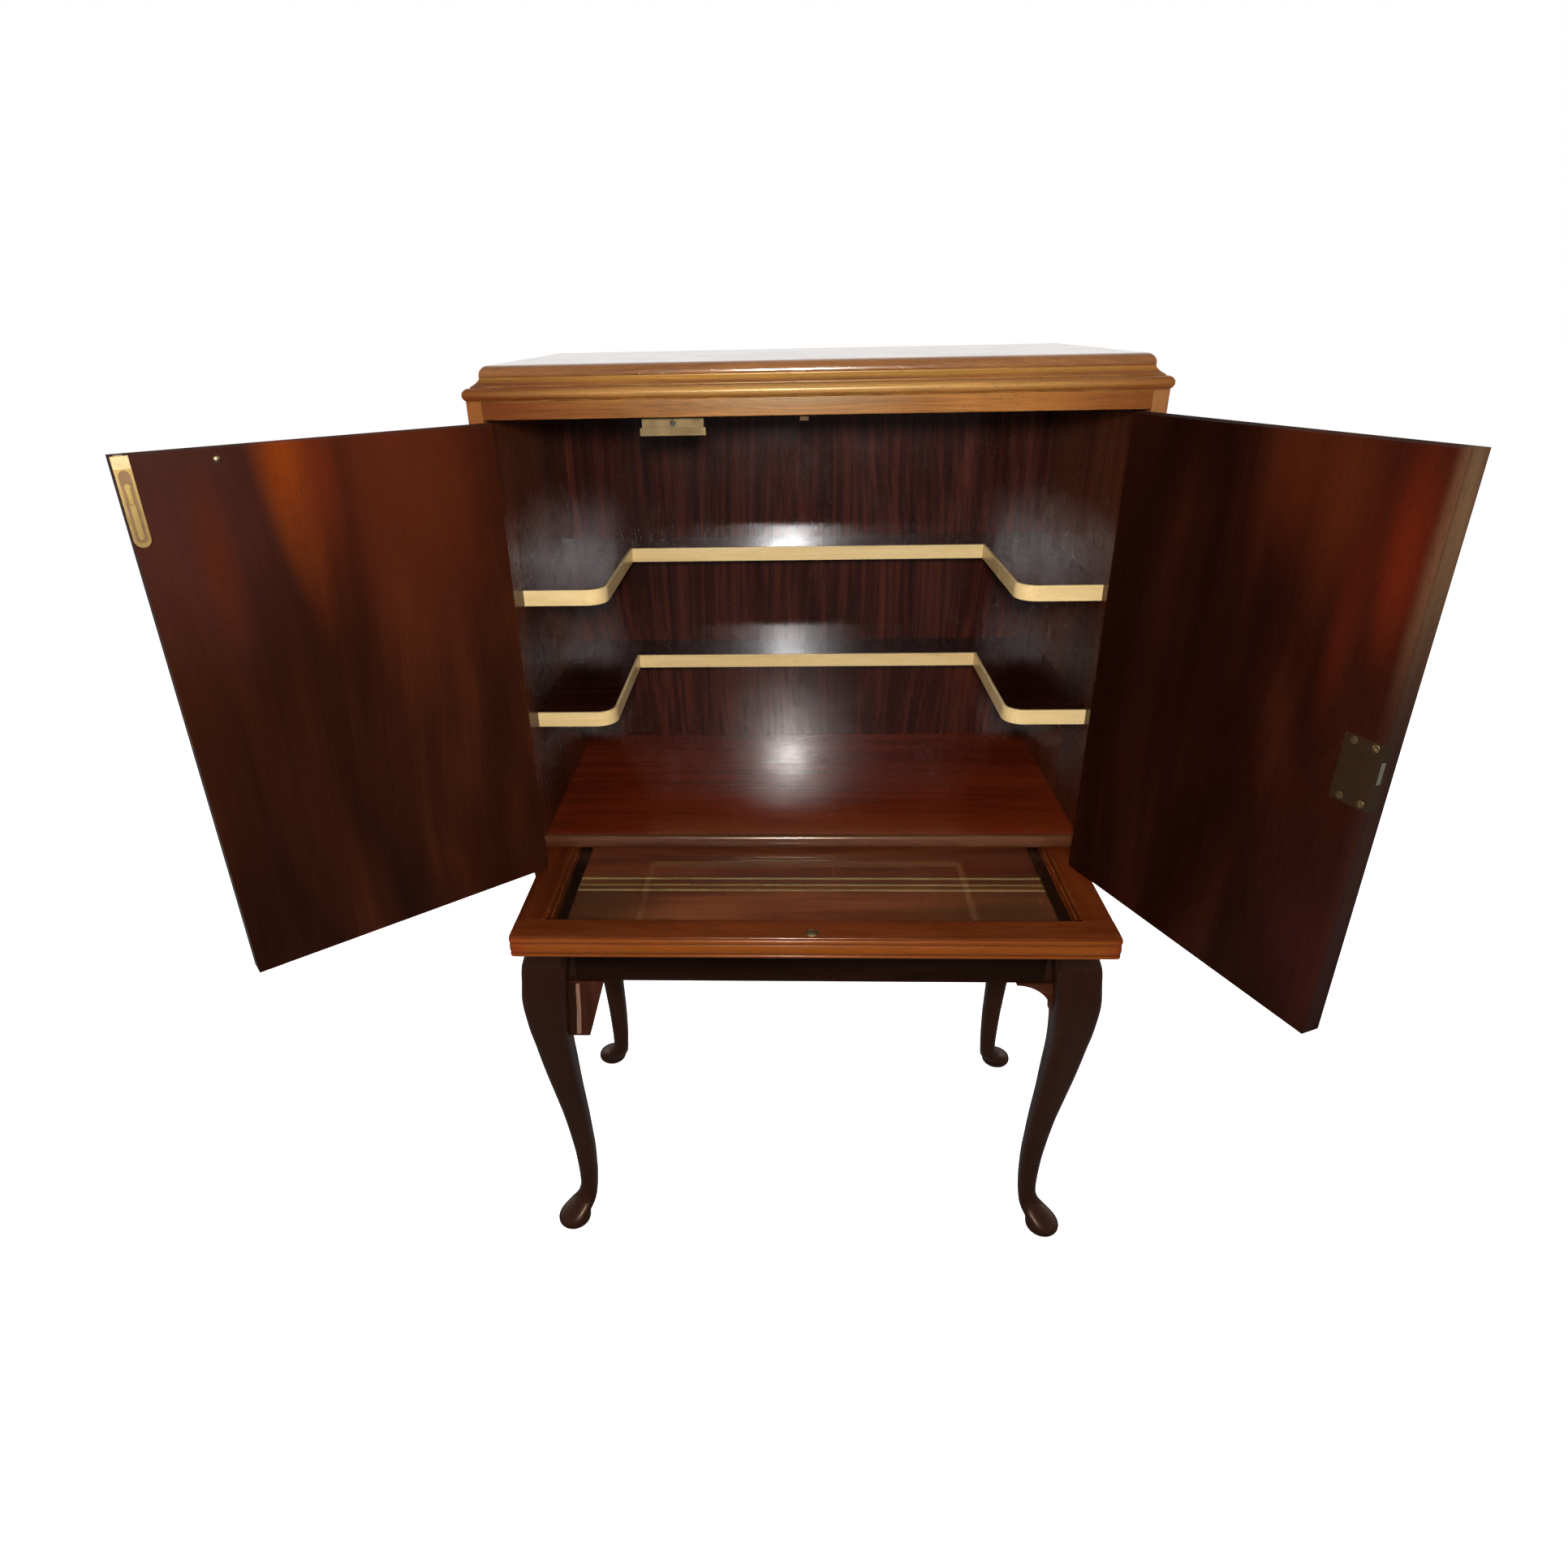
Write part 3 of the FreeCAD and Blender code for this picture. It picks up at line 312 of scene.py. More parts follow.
# The tones of each kind of wood: dark, middle, light and worn. Golden is the cornice and the frieze, cap
# the flat top, ground the case's floor, ear the front brackets and bare the freshly split wood.
WOODS = {
    "golden": ((0.092, 0.026, 0.0040), (0.188, 0.060, 0.0100), (0.31, 0.113, 0.023),
               (0.40, 0.22, 0.06)),
    "cap": ((0.11, 0.036, 0.008), (0.21, 0.076, 0.018), (0.33, 0.135, 0.038), (0.42, 0.23, 0.09)),
    "side": ((0.045, 0.010, 0.0035), (0.090, 0.022, 0.007), (0.14, 0.038, 0.012), (0.22, 0.09, 0.04)),
    "lipping": ((0.040, 0.011, 0.005), (0.080, 0.024, 0.010), (0.13, 0.042, 0.018), (0.25, 0.11, 0.05)),
    "door": ((0.0095, 0.0022, 0.0009), (0.026, 0.0056, 0.0019), (0.056, 0.0120, 0.0036),
             (0.11, 0.036, 0.016)),
    "dark_door": ((0.0048, 0.0010, 0.0006), (0.0125, 0.0025, 0.0011), (0.030, 0.0060, 0.0022),
                  (0.09, 0.030, 0.014)),
    "inside": ((0.0135, 0.0022, 0.0013), (0.036, 0.0066, 0.0037), (0.082, 0.018, 0.009),
               (0.13, 0.05, 0.025)),
    # The lower shelf: the inside wood in darker tones, painted shade.
    "low_shelf_in_painted_shade": ((0.0085, 0.0018, 0.0010), (0.021, 0.0046, 0.0026), (0.048, 0.0110, 0.0060),
                  (0.13, 0.05, 0.025)),
    "ground": ((0.068, 0.0080, 0.0022), (0.145, 0.0175, 0.0042), (0.23, 0.034, 0.008),
               (0.2, 0.06, 0.03)),
    "slide": ((0.040, 0.0062, 0.0014), (0.094, 0.0150, 0.0030), (0.165, 0.0300, 0.0064),
              (0.24, 0.075, 0.02)),
    "slide_edge": ((0.052, 0.0095, 0.0020), (0.115, 0.0215, 0.0046), (0.19, 0.042, 0.0090),
                   (0.40, 0.17, 0.045)),
    "tray": ((0.038, 0.0074, 0.003), (0.088, 0.0185, 0.007), (0.145, 0.037, 0.014), (0.2, 0.1, 0.05)),
    "stand": ((0.0048, 0.0018, 0.0009), (0.011, 0.0038, 0.0018), (0.022, 0.0078, 0.0036),
              (0.06, 0.028, 0.014)),
    "leg": ((0.0115, 0.0030, 0.0011), (0.0215, 0.0056, 0.0019), (0.035, 0.0100, 0.0034),
            (0.065, 0.028, 0.014)),
    "ear": ((0.024, 0.0052, 0.0022), (0.052, 0.0120, 0.0046), (0.10, 0.026, 0.0095),
            (0.28, 0.10, 0.04)),
    "bare": ((0.13, 0.060, 0.035), (0.23, 0.115, 0.070), (0.36, 0.205, 0.135), (0.45, 0.28, 0.17)),
    "inlay": ((0.09, 0.052, 0.020), (0.18, 0.115, 0.046), (0.28, 0.19, 0.09), (0.28, 0.19, 0.09)),
    "pale": ((0.60, 0.40, 0.16), (0.80, 0.575, 0.265), (0.93, 0.73, 0.40), (0.95, 0.78, 0.48)),
    "block": ((0.16, 0.09, 0.035), (0.25, 0.14, 0.06), (0.34, 0.21, 0.10), (0.38, 0.25, 0.13)),
}

# How each kind's grain and polish differ from the usual.
STYLE = {
    "golden": dict(figure=0.6, ribbon=0.45, fibre=0.6, ribbon_size=0.010, shine=0.5, rough=0.3,
                   coat=0.03, tinge=(1.0, 0.78, 0.46)),
    "cap": dict(figure=0.4, ribbon=0.3, fibre=0.4, ribbon_size=0.012, shine=0.9, coat=0.4, rough=0.16,
                tinge=(1.0, 0.93, 0.82)),
    "side": dict(figure=0.5, ribbon=0.3, fibre=0.25, shine=0.12, coat=0.02, relief=0.00005),
    "lipping": dict(figure=0.5, ribbon=0.3, fibre=0.3, shine=0.6, rough=0.2, coat=0.15,
                    tinge=(1.0, 0.74, 0.54)),
    "door": dict(figure=0.75, ribbon=0.16, fibre=0.2, ribbon_size=0.020, rough=0.24, shine=0.12,
                 coat=0.0, dull_above=DOOR_POLISH_TOP),
    "dark_door": dict(figure=0.75, ribbon=0.16, fibre=0.2, ribbon_size=0.020, rough=0.24, shine=0.10,
                      coat=0.0, dull_above=DOOR_POLISH_TOP),
    "inside": dict(figure=0.35, ribbon=0.6, fibre=0.35, ribbon_size=0.009, rough=0.17, shine=0.48,
                   coat=0.22, tinge=(0.96, 0.94, 0.94)),
    "low_shelf_in_painted_shade": dict(figure=0.35, ribbon=0.5, fibre=0.35, ribbon_size=0.012, rough=0.19, shine=0.24,
                      coat=0.09, tinge=(0.96, 0.92, 0.9)),
    "ground": dict(figure=0.5, ribbon=0.3, fibre=0.3, ribbon_size=0.014, rough=0.2, shine=0.5,
                   coat=0.2),
    "slide": dict(figure=0.5, ribbon=0.35, fibre=0.4, rough=0.25, shine=0.25, coat=0.06),
    "slide_edge": dict(figure=0.5, ribbon=0.35, fibre=0.4, rough=0.25, shine=0.25, coat=0.06),
    "tray": dict(figure=0.8, ribbon=0.4, fibre=0.3, rough=0.4, shine=0.2, coat=0.0),
    "stand": dict(figure=0.5, ribbon=0.3, fibre=0.25, rough=0.3, shine=0.10, coat=0.02,
                  tinge=(1.0, 0.62, 0.45)),
    "leg": dict(figure=0.3, ribbon=0.12, fibre=0.15, rough=0.28, shine=0.42, coat=0.0, relief=0.00004,
                tinge=(1.0, 0.66, 0.48)),
    "ear": dict(figure=0.5, ribbon=0.4, fibre=0.4, rough=0.35, shine=0.2, coat=0.03),
    "bare": dict(figure=0.4, ribbon=0.3, fibre=0.6, rough=0.7, shine=0.2, coat=0.0, pores=0.3),
    "inlay": dict(figure=0.3, ribbon=0.2, fibre=0.3, pores=0.2, shine=0.3),
    "pale": dict(figure=0.3, ribbon=0.2, fibre=0.3, pores=0.2, shine=0.3),
    "block": dict(figure=0.3, ribbon=0.3, fibre=0.5, rough=0.6, coat=0.0),
}

# Soft patches in a wood's colour: where, how far they reach on each axis, their colour and their share.
# Many are painted light and shade: a painted highlight along the cornice, painted shade inside the sides,
# the left door's upper part painted lighter, painted sheen on both doors and a painted highlight on the
# slide's front rail; the others are plain colour patches.
PAINTED_LIGHT_AND_PATCHES = {
    "golden": (
        (at(-350, 0, 1245), (0.16, 0.09, 0.07), (0.155, 0.031, 0.005), 1.0),
        (at(360, 0, 1240), (0.16, 0.09, 0.06), (0.165, 0.043, 0.008), 0.9),
        # Painted highlight: the middle of the cornice's mouldings and of its fillet painted bright, where the
        # lamp's light falls.
        (at(0, -2, 1258), (0.45, 0.030, 0.0075), (0.58, 0.30, 0.085), 0.9),
        (at(0, 12, 1271), (0.50, 0.030, 0.0050), (0.50, 0.24, 0.050), 0.9)),
    "side": (
        (at(-372, 0, 1240), (0.040, 0.022, 0.075), (0.30, 0.100, 0.026), 1.0),
        (at(372, 0, 1240), (0.040, 0.022, 0.075), (0.33, 0.135, 0.045), 1.0),
        # Painted shade: the sides' inner faces painted dark inside the case.
        (at(-363, 125, 870), (0.012, 0.125, 0.36), (0.017, 0.0055, 0.0035), 0.95),
        (at(363, 125, 870), (0.012, 0.125, 0.36), (0.017, 0.0055, 0.0035), 0.95)),
    "door": (
        # Painted light: the upper part near the hinge painted lighter and redder.
        (at(-430, -94, 1215), (0.150, 0.150, 0.260), (0.078, 0.0125, 0.0038), 0.9),
        # Painted sheen: a plum sheen near the top of the free side.
        (at(-590, -228, 1180), (0.120, 0.120, 0.200), (0.062, 0.0165, 0.0110), 0.9),
        # Smaller orange patches near the top.
        (at(-574, -215, 1130), (0.026, 0.026, 0.110), (0.088, 0.0160, 0.0055), 0.8),
        (at(-512, -163, 1228), (0.036, 0.036, 0.150), (0.205, 0.0330, 0.0035), 1.0),
        (at(-490, -145, 1210), (0.024, 0.024, 0.120), (0.125, 0.0165, 0.0040), 0.7),
        (at(-506, -158, 1130), (0.022, 0.022, 0.110), (0.110, 0.0180, 0.0040), 0.6)),
    "dark_door": (
        (at(350, -50, 1000), (0.130, 0.130, 0.420), (0.0125, 0.0028, 0.0015), 1.0),
        (at(428, -217, 1210), (0.055, 0.055, 0.120), (0.054, 0.0092, 0.0028), 0.9),
        (at(476, -325, 1170), (0.060, 0.070, 0.150), (0.052, 0.0070, 0.0028), 0.9),
        (at(447, -261, 1190), (0.040, 0.040, 0.130), (0.058, 0.0100, 0.0030), 0.85),
        (at(472, -319, 1140), (0.026, 0.026, 0.110), (0.082, 0.0092, 0.0028), 0.9),
        (at(458, -286, 1080), (0.020, 0.020, 0.120), (0.050, 0.0062, 0.0025), 0.8),
        (at(475, -322, 760), (0.060, 0.080, 0.110), (0.034, 0.0055, 0.0045), 0.6),
        # Painted sheen: a pale sheen down the free edge, fainter lower down.
        (at(496, -342, 1170), (0.021, 0.021, 0.260), (0.17, 0.090, 0.044), 1.0),
        (at(496, -342, 900), (0.021, 0.021, 0.300), (0.034, 0.0135, 0.0100), 1.0)),
    "ground": (
        (at(0, 26, 672), (0.55, 0.070, 0.030), (0.30, 0.043, 0.009), 0.9),
        (at(300, 30, 672), (0.16, 0.090, 0.030), (0.30, 0.048, 0.010), 0.7)),
    "slide": (
        (at(352, -70, 666), (0.060, 0.150, 0.030), (0.20, 0.036, 0.0065), 0.85),
        (at(-352, -70, 666), (0.060, 0.150, 0.030), (0.080, 0.0170, 0.0045), 0.7)),
    "slide_edge": (
        # Painted highlight: a golden band along the rail's front.
        (at(0, -184, 653), (1.6, 0.013, 0.030), (0.27, 0.066, 0.005), 1.0),
        # Brighter red at the round ends.
        (at(-364, -184, 652), (0.030, 0.020, 0.030), (0.26, 0.032, 0.005), 1.0),
        (at(364, -184, 652), (0.030, 0.020, 0.030), (0.22, 0.030, 0.005), 1.0)),
    "tray": (
        (at(250, -95, 648), (0.190, 0.090, 0.050), (0.050, 0.0170, 0.0060), 0.95),
        (at(-270, -80, 648), (0.120, 0.110, 0.050), (0.048, 0.0170, 0.0065), 0.9)),
}

made_materials = {}


def timber(kind, axis):
    """A kind of wood with its grain along an axis, made once."""
    key = (kind, axis)
    if key not in made_materials:
        name = f"{kind}_wood_along_{axis}"
        made_materials[key] = wood(name, axis, WOODS[kind], PAINTED_LIGHT_AND_PATCHES.get(kind, ()), **STYLE[kind])
    return made_materials[key]


BRASS = metal("old_brass", (0.40, 0.27, 0.095), (0.12, 0.072, 0.026), rough=0.36)
PALE_BRASS = metal("pale_brass", (0.145, 0.100, 0.048), (0.078, 0.050, 0.022), rough=0.5)
BRIGHT_BRASS = metal("rubbed_brass", (0.56, 0.43, 0.22), (0.26, 0.18, 0.08), rough=0.34, tarnish=0.3)
DEEP_BRONZE = metal("black_bronze", (0.050, 0.030, 0.014), (0.020, 0.012, 0.006), rough=0.45)
BRONZE = metal("dark_bronze", (0.22, 0.130, 0.066), (0.085, 0.050, 0.026), rough=0.42)
# The lock's bolt is pale steel made paler still, a painted highlight where light grazes it.
PALE_STEEL_WITH_PAINTED_GLINT = metal("bolt_steel_with_painted_glint", (0.86, 0.80, 0.60), (0.45, 0.38, 0.24), rough=0.42, tarnish=0.2)
GLASS = clear_glass("pane_glass")
BLACK = plastic("dark_button")


# Forms


def mesh_of(bm, name):
    """The finished form as a mesh."""
    mesh = bpy.data.meshes.new(name)
    bm.to_mesh(mesh)
    bm.free()
    return mesh


def add_object(name, data):
    """A new object in the scene."""
    made = bpy.data.objects.new(name, data)
    bpy.context.scene.collection.objects.link(made)
    return made


def outwards(bm):
    """Turns all faces outwards."""
    bmesh.ops.recalc_face_normals(bm, faces=bm.faces)


def skin(bm, rings):
    """Faces between rings of equally many points, with a cap at each end."""
    rows = [[bm.verts.new(point) for point in ring] for ring in rings]
    count = len(rows[0])
    for low, high in zip(rows, rows[1:]):
        for i in range(count):
            j = (i + 1) % count
            bm.faces.new((low[i], low[j], high[j], high[i]))
    bm.faces.new(list(reversed(rows[0])))
    bm.faces.new(rows[-1])


def block(bm, low, high):
    """A plain box between two corners."""
    corners = [bm.verts.new((x, y, z)) for z in (low[2], high[2])
               for x, y in ((low[0], low[1]), (high[0], low[1]), (high[0], high[1]), (low[0], high[1]))]
    for face in ((3, 2, 1, 0), (4, 5, 6, 7), (0, 1, 5, 4), (1, 2, 6, 5), (2, 3, 7, 6), (3, 0, 4, 7)):
        bm.faces.new([corners[i] for i in face])


def prism(bm, near, far):
    """A solid between two outlines of equally many points."""
    first = [bm.verts.new(point) for point in near]
    last = [bm.verts.new(point) for point in far]
    bm.faces.new(first)
    bm.faces.new(list(reversed(last)))
    for i in range(len(first)):
        j = (i + 1) % len(first)
        bm.faces.new((first[j], first[i], last[i], last[j]))
    outwards(bm)


def arc(middle, radius, start, end, count):
    """Points on part of a circle, in degrees."""
    turns = [math.radians(start + (end - start) * i / (count - 1)) for i in range(count)]
    return [(middle[0] + radius * math.cos(turn), middle[1] + radius * math.sin(turn)) for turn in turns]


def stadium(along, half, low, high, round_top=True):
    """An upright strip with a round lower end, and a round upper end if asked."""
    outline = arc((along, low + half), half, 180, 360, 11)
    if round_top:
        return outline + arc((along, high - half), half, 0, 180, 11)
    return outline + [(along + half, high), (along - half, high)]


def lathe(bm, middle, axis, profile, count):
    """A round form about an axis: the profile gives radius and height, in mm."""
    axis = Vector(axis).normalized()
    side = axis.orthogonal().normalized()
    other = axis.cross(side)
    rings = []
    for radius, height in profile:
        ring = []
        for i in range(count):
            turn = 2 * math.pi * i / count
            ring.append(Vector(middle) + (side * math.cos(turn) + other * math.sin(turn)) * radius * MM
                        + axis * height * MM)
        rings.append(ring)
    skin(bm, rings)
    outwards(bm)


def smooth_curve(points, value):
    """Values between the given ones, without overshoot."""
    for (x0, y0), (x1, y1) in zip(points, points[1:]):
        if value <= x1:
            break
    index = points.index((x1, y1))

    def slope(i):
        if i <= 0 or i >= len(points) - 1:
            return 0.0
        before = (points[i][1] - points[i - 1][1]) / (points[i][0] - points[i - 1][0])
        after = (points[i + 1][1] - points[i][1]) / (points[i + 1][0] - points[i][0])
        return 0.0 if before * after <= 0 else 2 * before * after / (before + after)

    wide = x1 - x0
    share = min(1.0, max(0.0, (value - x0) / wide))
    start = (2 * share ** 3 - 3 * share ** 2 + 1) * y0
    leaving = (share ** 3 - 2 * share ** 2 + share) * wide * slope(index - 1)
    end = (3 * share ** 2 - 2 * share ** 3) * y1
    arriving = (share ** 3 - share ** 2) * wide * slope(index)
    return start + leaving + end + arriving


# Pieces of the cabinet

BOARD_NUMBERS = 97
BEVEL_STEPS = 2
SHARP_ANGLE = 48
SAME_POINT, FLAT_ANGLE = 2e-6, 0.6


def board_number(name):
    """A number from 0 to 1 that moves the grain from piece to piece."""
    return sum((place + 3) * ord(letter) for place, letter in enumerate(name)) % BOARD_NUMBERS / BOARD_NUMBERS


def bends(edge, angle):
    """Whether an edge joins two faces at more than an angle."""
    return len(edge.link_faces) == 2 and edge.calc_face_angle(0) > math.radians(angle)


def settle(bm, name, material, node=None, body=None, slot=None, width=0.0007, angle=32, weighted=True):
    """Softens a mesh's edges, marks them as rubbed and makes it a piece of the cabinet."""
    wear = bm.faces.layers.float.get("wear") or bm.faces.layers.float.new("wear")
    board = bm.faces.layers.float.new("board")
    if width:
        edges = [edge for edge in bm.edges if bends(edge, angle)]
        done = bmesh.ops.bevel(bm, geom=edges, offset=width, segments=BEVEL_STEPS, profile=0.5,
                               affect="EDGES", clamp_overlap=True)
        for face in done["faces"]:
            face[wear] = 1.0
    number = board_number(name)
    for face in bm.faces:
        face[board] = number
        face.smooth = True
    for edge in bm.edges:
        edge.smooth = not bends(edge, SHARP_ANGLE)
    mesh = mesh_of(bm, name)
    mesh.materials.append(material)
    piece = add_object(name, mesh)
    if weighted:
        piece.modifiers.new("even_normals", "WEIGHTED_NORMAL").keep_sharp = True
    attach(piece, body or BODY[node])
    if node:
        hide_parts(node)
    slot or SLOT[node]


def shape_of(node):
    """A node's solid with its flat faces made whole."""
    bm = bmesh.new()
    bm.from_mesh(NODES[node].data)
    bmesh.ops.remove_doubles(bm, verts=bm.verts, dist=SAME_POINT)
    bmesh.ops.dissolve_limit(bm, angle_limit=math.radians(FLAT_ANGLE), verts=bm.verts, edges=bm.edges)
    return bm


def dress(node, material, **options):
    """The node's own shape with softened edges."""
    settle(shape_of(node), node + "_finished", material, node=node, **options)


# Height, how far the middle stands out on both axes, half width and squareness of the leg's section.
LEG_SECTIONS = [
    (0.0, 26.0, 18.5, 2.0), (2.2, 26.0, 22.8, 2.0), (5.5, 26.0, 25.3, 2.0), (9.5, 25.8, 26.0, 2.0),
    (13.5, 25.2, 25.4, 2.0), (18.0, 23.2, 23.9, 2.05), (23.0, 19.0, 21.9, 2.1), (29.0, 12.8, 19.6, 2.15),
    (36.0, 7.4, 16.6, 2.2), (46.0, 4.2, 14.7, 2.3), (58.0, 2.0, 13.8, 2.4), (88.0, 0.9, 14.5, 2.6),
    (125.0, 1.3, 15.5, 2.8), (172.0, 3.9, 16.7, 3.0), (220.0, 7.5, 18.3, 3.2), (268.0, 12.3, 20.4, 3.4),
    (320.0, 17.1, 23.2, 3.7), (372.0, 21.4, 25.4, 4.0), (415.0, 23.5, 28.8, 4.3), (455.0, 23.7, 31.5, 4.6),
    (490.0, 20.5, 32.1, 5.0), (515.0, 17.2, 33.0, 5.2), (540.0, 10.0, 30.0, 5.8), (556.0, 3.2, 24.5, 7.0),
    (565.0, 0.0, 22.0, 8.0),
]
LEG_HEIGHTS = [0.0, 0.8, 2.2, 3.8, 5.5, 7.5, 9.5, 11.5, 13.5, 15.5, 18.0, 20.5, 23.0, 26.0, 29.0, 32.5, 36.0,
               41.0, *(46.0 + 10.0 * step for step in range(51)), 551.0, 556.0, 560.0, 565.0]
LEG_POINTS = 48
# The square posts: the places of their middles and their half width in mm, their ends in m.
POST_X, POST_FRONT_Y, POST_BACK_Y = 352, 10, 343
HALF_POST, POST_LOW, POST_HIGH = 22.0, 0.479, 0.640


def leg(node, side, row):
    """A cabriole leg: a square post, a swelling knee, a slim ankle and a pad foot."""
    post_x = CASE_X + side * POST_X * MM
    post_y = CASE_Y + (POST_FRONT_Y if row < 0 else POST_BACK_Y) * MM
    rings = []
    for z in LEG_HEIGHTS:
        out, half, power = (smooth_curve([(section[0], section[part]) for section in LEG_SECTIONS], z)
                            for part in (1, 2, 3))
        ring = []
        for i in range(LEG_POINTS):
            turn = 2 * math.pi * (i + 0.5) / LEG_POINTS
            c, s = math.cos(turn), math.sin(turn)
            reach = (abs(c) ** power + abs(s) ** power) ** (-1 / power)
            x, y = out + half * reach * c, row * out + half * reach * s
            ring.append((post_x + side * x * MM, post_y + y * MM, z * MM))
        rings.append(ring)
    bm = bmesh.new()
    skin(bm, rings)
    block(bm, (post_x - HALF_POST * MM, post_y - HALF_POST * MM, POST_LOW),
          (post_x + HALF_POST * MM, post_y + HALF_POST * MM, POST_HIGH))
    outwards(bm)
    settle(bm, node + "_finished", timber("leg", "Z"), node=node, width=0.0009, angle=70, weighted=False)


# The open doors: their side and how many degrees they stand open, where the hinge axes are, and how far
# across from them the doors' inner faces lie.
DOOR_ANGLE = {"left_door": (-1, 140.0), "right_door": (1, 113.6)}
HINGE_X, HINGE_Y = 363, -4
DOOR_FACE = 26.0


def on_door(door, along, across, z):
    """A point on an open door: along it from its hinge axis and across it towards its inner face."""
    sign, opened = DOOR_ANGLE[door]
    turn = math.radians(opened)
    return at(sign * HINGE_X - sign * along * math.cos(turn) - sign * across * math.sin(turn),
              HINGE_Y - along * math.sin(turn) + across * math.cos(turn), z)


def door_plate(bm, door, outline, sunk, proud):
    """A plate let into an open door's inner face: its outline in distance from the hinge and height."""
    prism(bm, [on_door(door, along, DOOR_FACE - sunk, z) for along, z in outline],
          [on_door(door, along, DOOR_FACE + proud, z) for along, z in outline])


def islands(bm):
    """The mesh's separate parts as lists of faces, in the order of the faces."""
    found = set()
    for start in bm.faces:
        if start in found:
            continue
        found.add(start)
        group, edge = [], [start]
        while edge:
            face = edge.pop()
            group.append(face)
            for near in (near for vert in face.verts for near in vert.link_faces if near not in found):
                found.add(near)
                edge.append(near)
        yield group


# A screw head's radius, the half width of its slot on its rim as a share of that radius and on its
# top in mm, the top's radius as a share, and how far its foot and rim lie under its top.
HEAD_RADIUS, SLOT_SHARE, SLOT_HALF, HEAD_TOP_SHARE = 3.5, 0.13, 0.455, 0.72
HEAD_FOOT, HEAD_RIM, HEAD_POINTS = 0.67, 0.32, 11
FIRST_SLOT_TURN, NEXT_SLOT_TURN = 0.7, 1.9


def screws(node, material, rise=0.42):
    """The node's screws, each with a domed head cut by a slot."""
    bm = shape_of(node)
    heads = []
    for group in islands(bm):
        flat = max(group, key=lambda face: face.calc_area())
        heads.append((flat.calc_center_median(), flat.normal.copy()))
    slot = math.degrees(math.asin(SLOT_SHARE))
    rim = arc((0.0, 0.0), HEAD_RADIUS, slot, 180 - slot, HEAD_POINTS)
    top = [(x * HEAD_TOP_SHARE, max(y * HEAD_TOP_SHARE, SLOT_HALF)) for x, y in rim]
    for number, (middle, axis) in enumerate(heads):
        side = axis.orthogonal().normalized()
        side.rotate(Matrix.Rotation(FIRST_SLOT_TURN + NEXT_SLOT_TURN * number, 3, axis))
        other = axis.cross(side)
        for half in (1, -1):
            skin(bm, [[middle + (side * x + other * half * y) * MM + axis * height * MM for x, y in outline]
                      for outline, height in ((rim, rise - HEAD_FOOT), (rim, rise - HEAD_RIM), (top, rise))])
    outwards(bm)
    settle(bm, node + "_finished", material, node=node, width=0.0)


# The slide's front rail from the side: y and z, with the beads' arcs.
RAIL_PROFILE = [
    (-137.0, 640.3), (-137.0, 666.3), (-174.6, 666.3), *arc((-176.6, 662.9), 3.4, 60, 255, 12),
    (-177.2, 658.7), (-177.4, 658.0), *arc((-168.9, 651.7), 11.1, 145, 215, 11),
    (-177.2, 645.1), (-177.3, 644.6), *arc((-177.4, 642.6), 2.2, 110, 250, 9), (-175.6, 640.3)]
RAIL_CORNER, RAIL_BACK_Y = 6.0, -150
CORNER_STEPS = (0.0, 0.06, 0.2, 0.42, 0.7, 1.0)


def slide_front():
    """The slide's front rail: a fine bead at the top, a broad band and a fine bead below, round ends."""
    low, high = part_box("slide_front_rail")
    ends = [RAIL_CORNER * share for share in CORNER_STEPS]
    rings = []
    for x, inward in [(low.x, step) for step in ends] + [(high.x, -step) for step in reversed(ends)]:
        back = RAIL_CORNER - math.sqrt(RAIL_CORNER ** 2 - (RAIL_CORNER - abs(inward)) ** 2)
        rings.append([(x + inward * MM, CASE_Y + (y + back if y < RAIL_BACK_Y else y) * MM, z * MM)
                      for y, z in RAIL_PROFILE])
    bm = bmesh.new()
    skin(bm, rings)
    outwards(bm)
    settle(bm, "slide_front_rail_finished", timber("slide_edge", "X"), node="slide_front_rail",
           width=0.0005, angle=50)


LIPPING_SWELL, LIPPING_FULLNESS, LIPPING_STEP = 0.62, 0.8, 15


def lipping():
    """The strip in front of the case's floor: its front is softly rounded from top to bottom."""
    low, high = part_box("floor_lipping")
    half_tall = (high.z - low.z) / MM / 2
    swell = (high.y - low.y) / MM * LIPPING_SWELL
    outline = [(high.y, low.z), (high.y, high.z), (low.y + swell * MM, high.z)]
    for angle in range(90 - LIPPING_STEP, -90, -LIPPING_STEP):
        turn = math.radians(angle)
        y = swell - swell * math.cos(turn) ** LIPPING_FULLNESS
        outline.append((low.y + y * MM, low.z + (half_tall + half_tall * math.sin(turn)) * MM))
    outline.append((low.y + swell * MM, low.z))
    bm = bmesh.new()
    prism(bm, [(low.x, y, z) for y, z in outline], [(high.x, y, z) for y, z in outline])
    settle(bm, "floor_lipping_finished", timber("lipping", "X"), node="floor_lipping", width=0.0004, angle=50)


# How far along the left door its bolt and its stud are, and the forms of their parts: half width, lower
# and upper end of the plate, the channel and the bar, outline of the head, radius and height of the stud.
BOLT_ALONG = 354.1
BOLT_PLATE, BOLT_CHANNEL, BOLT_BAR = (7.4, 1148.2, 1228.8), (4.9, 1152.5, 1216.5), (2.7, 1155.0, 1205.0)
BOLT_HEAD = [(347.0, 1217.6), (361.0, 1217.6), (361.0, 1228.4), (347.0, 1228.4)]
STUD_ALONG, STUD_HEIGHT, STUD_POINTS = 277.0, 1219.0, 20
STUD_PROFILE = [(3.4, -0.5), (3.4, 0.2), (2.9, 0.9), (1.8, 1.4), (0.4, 1.6)]


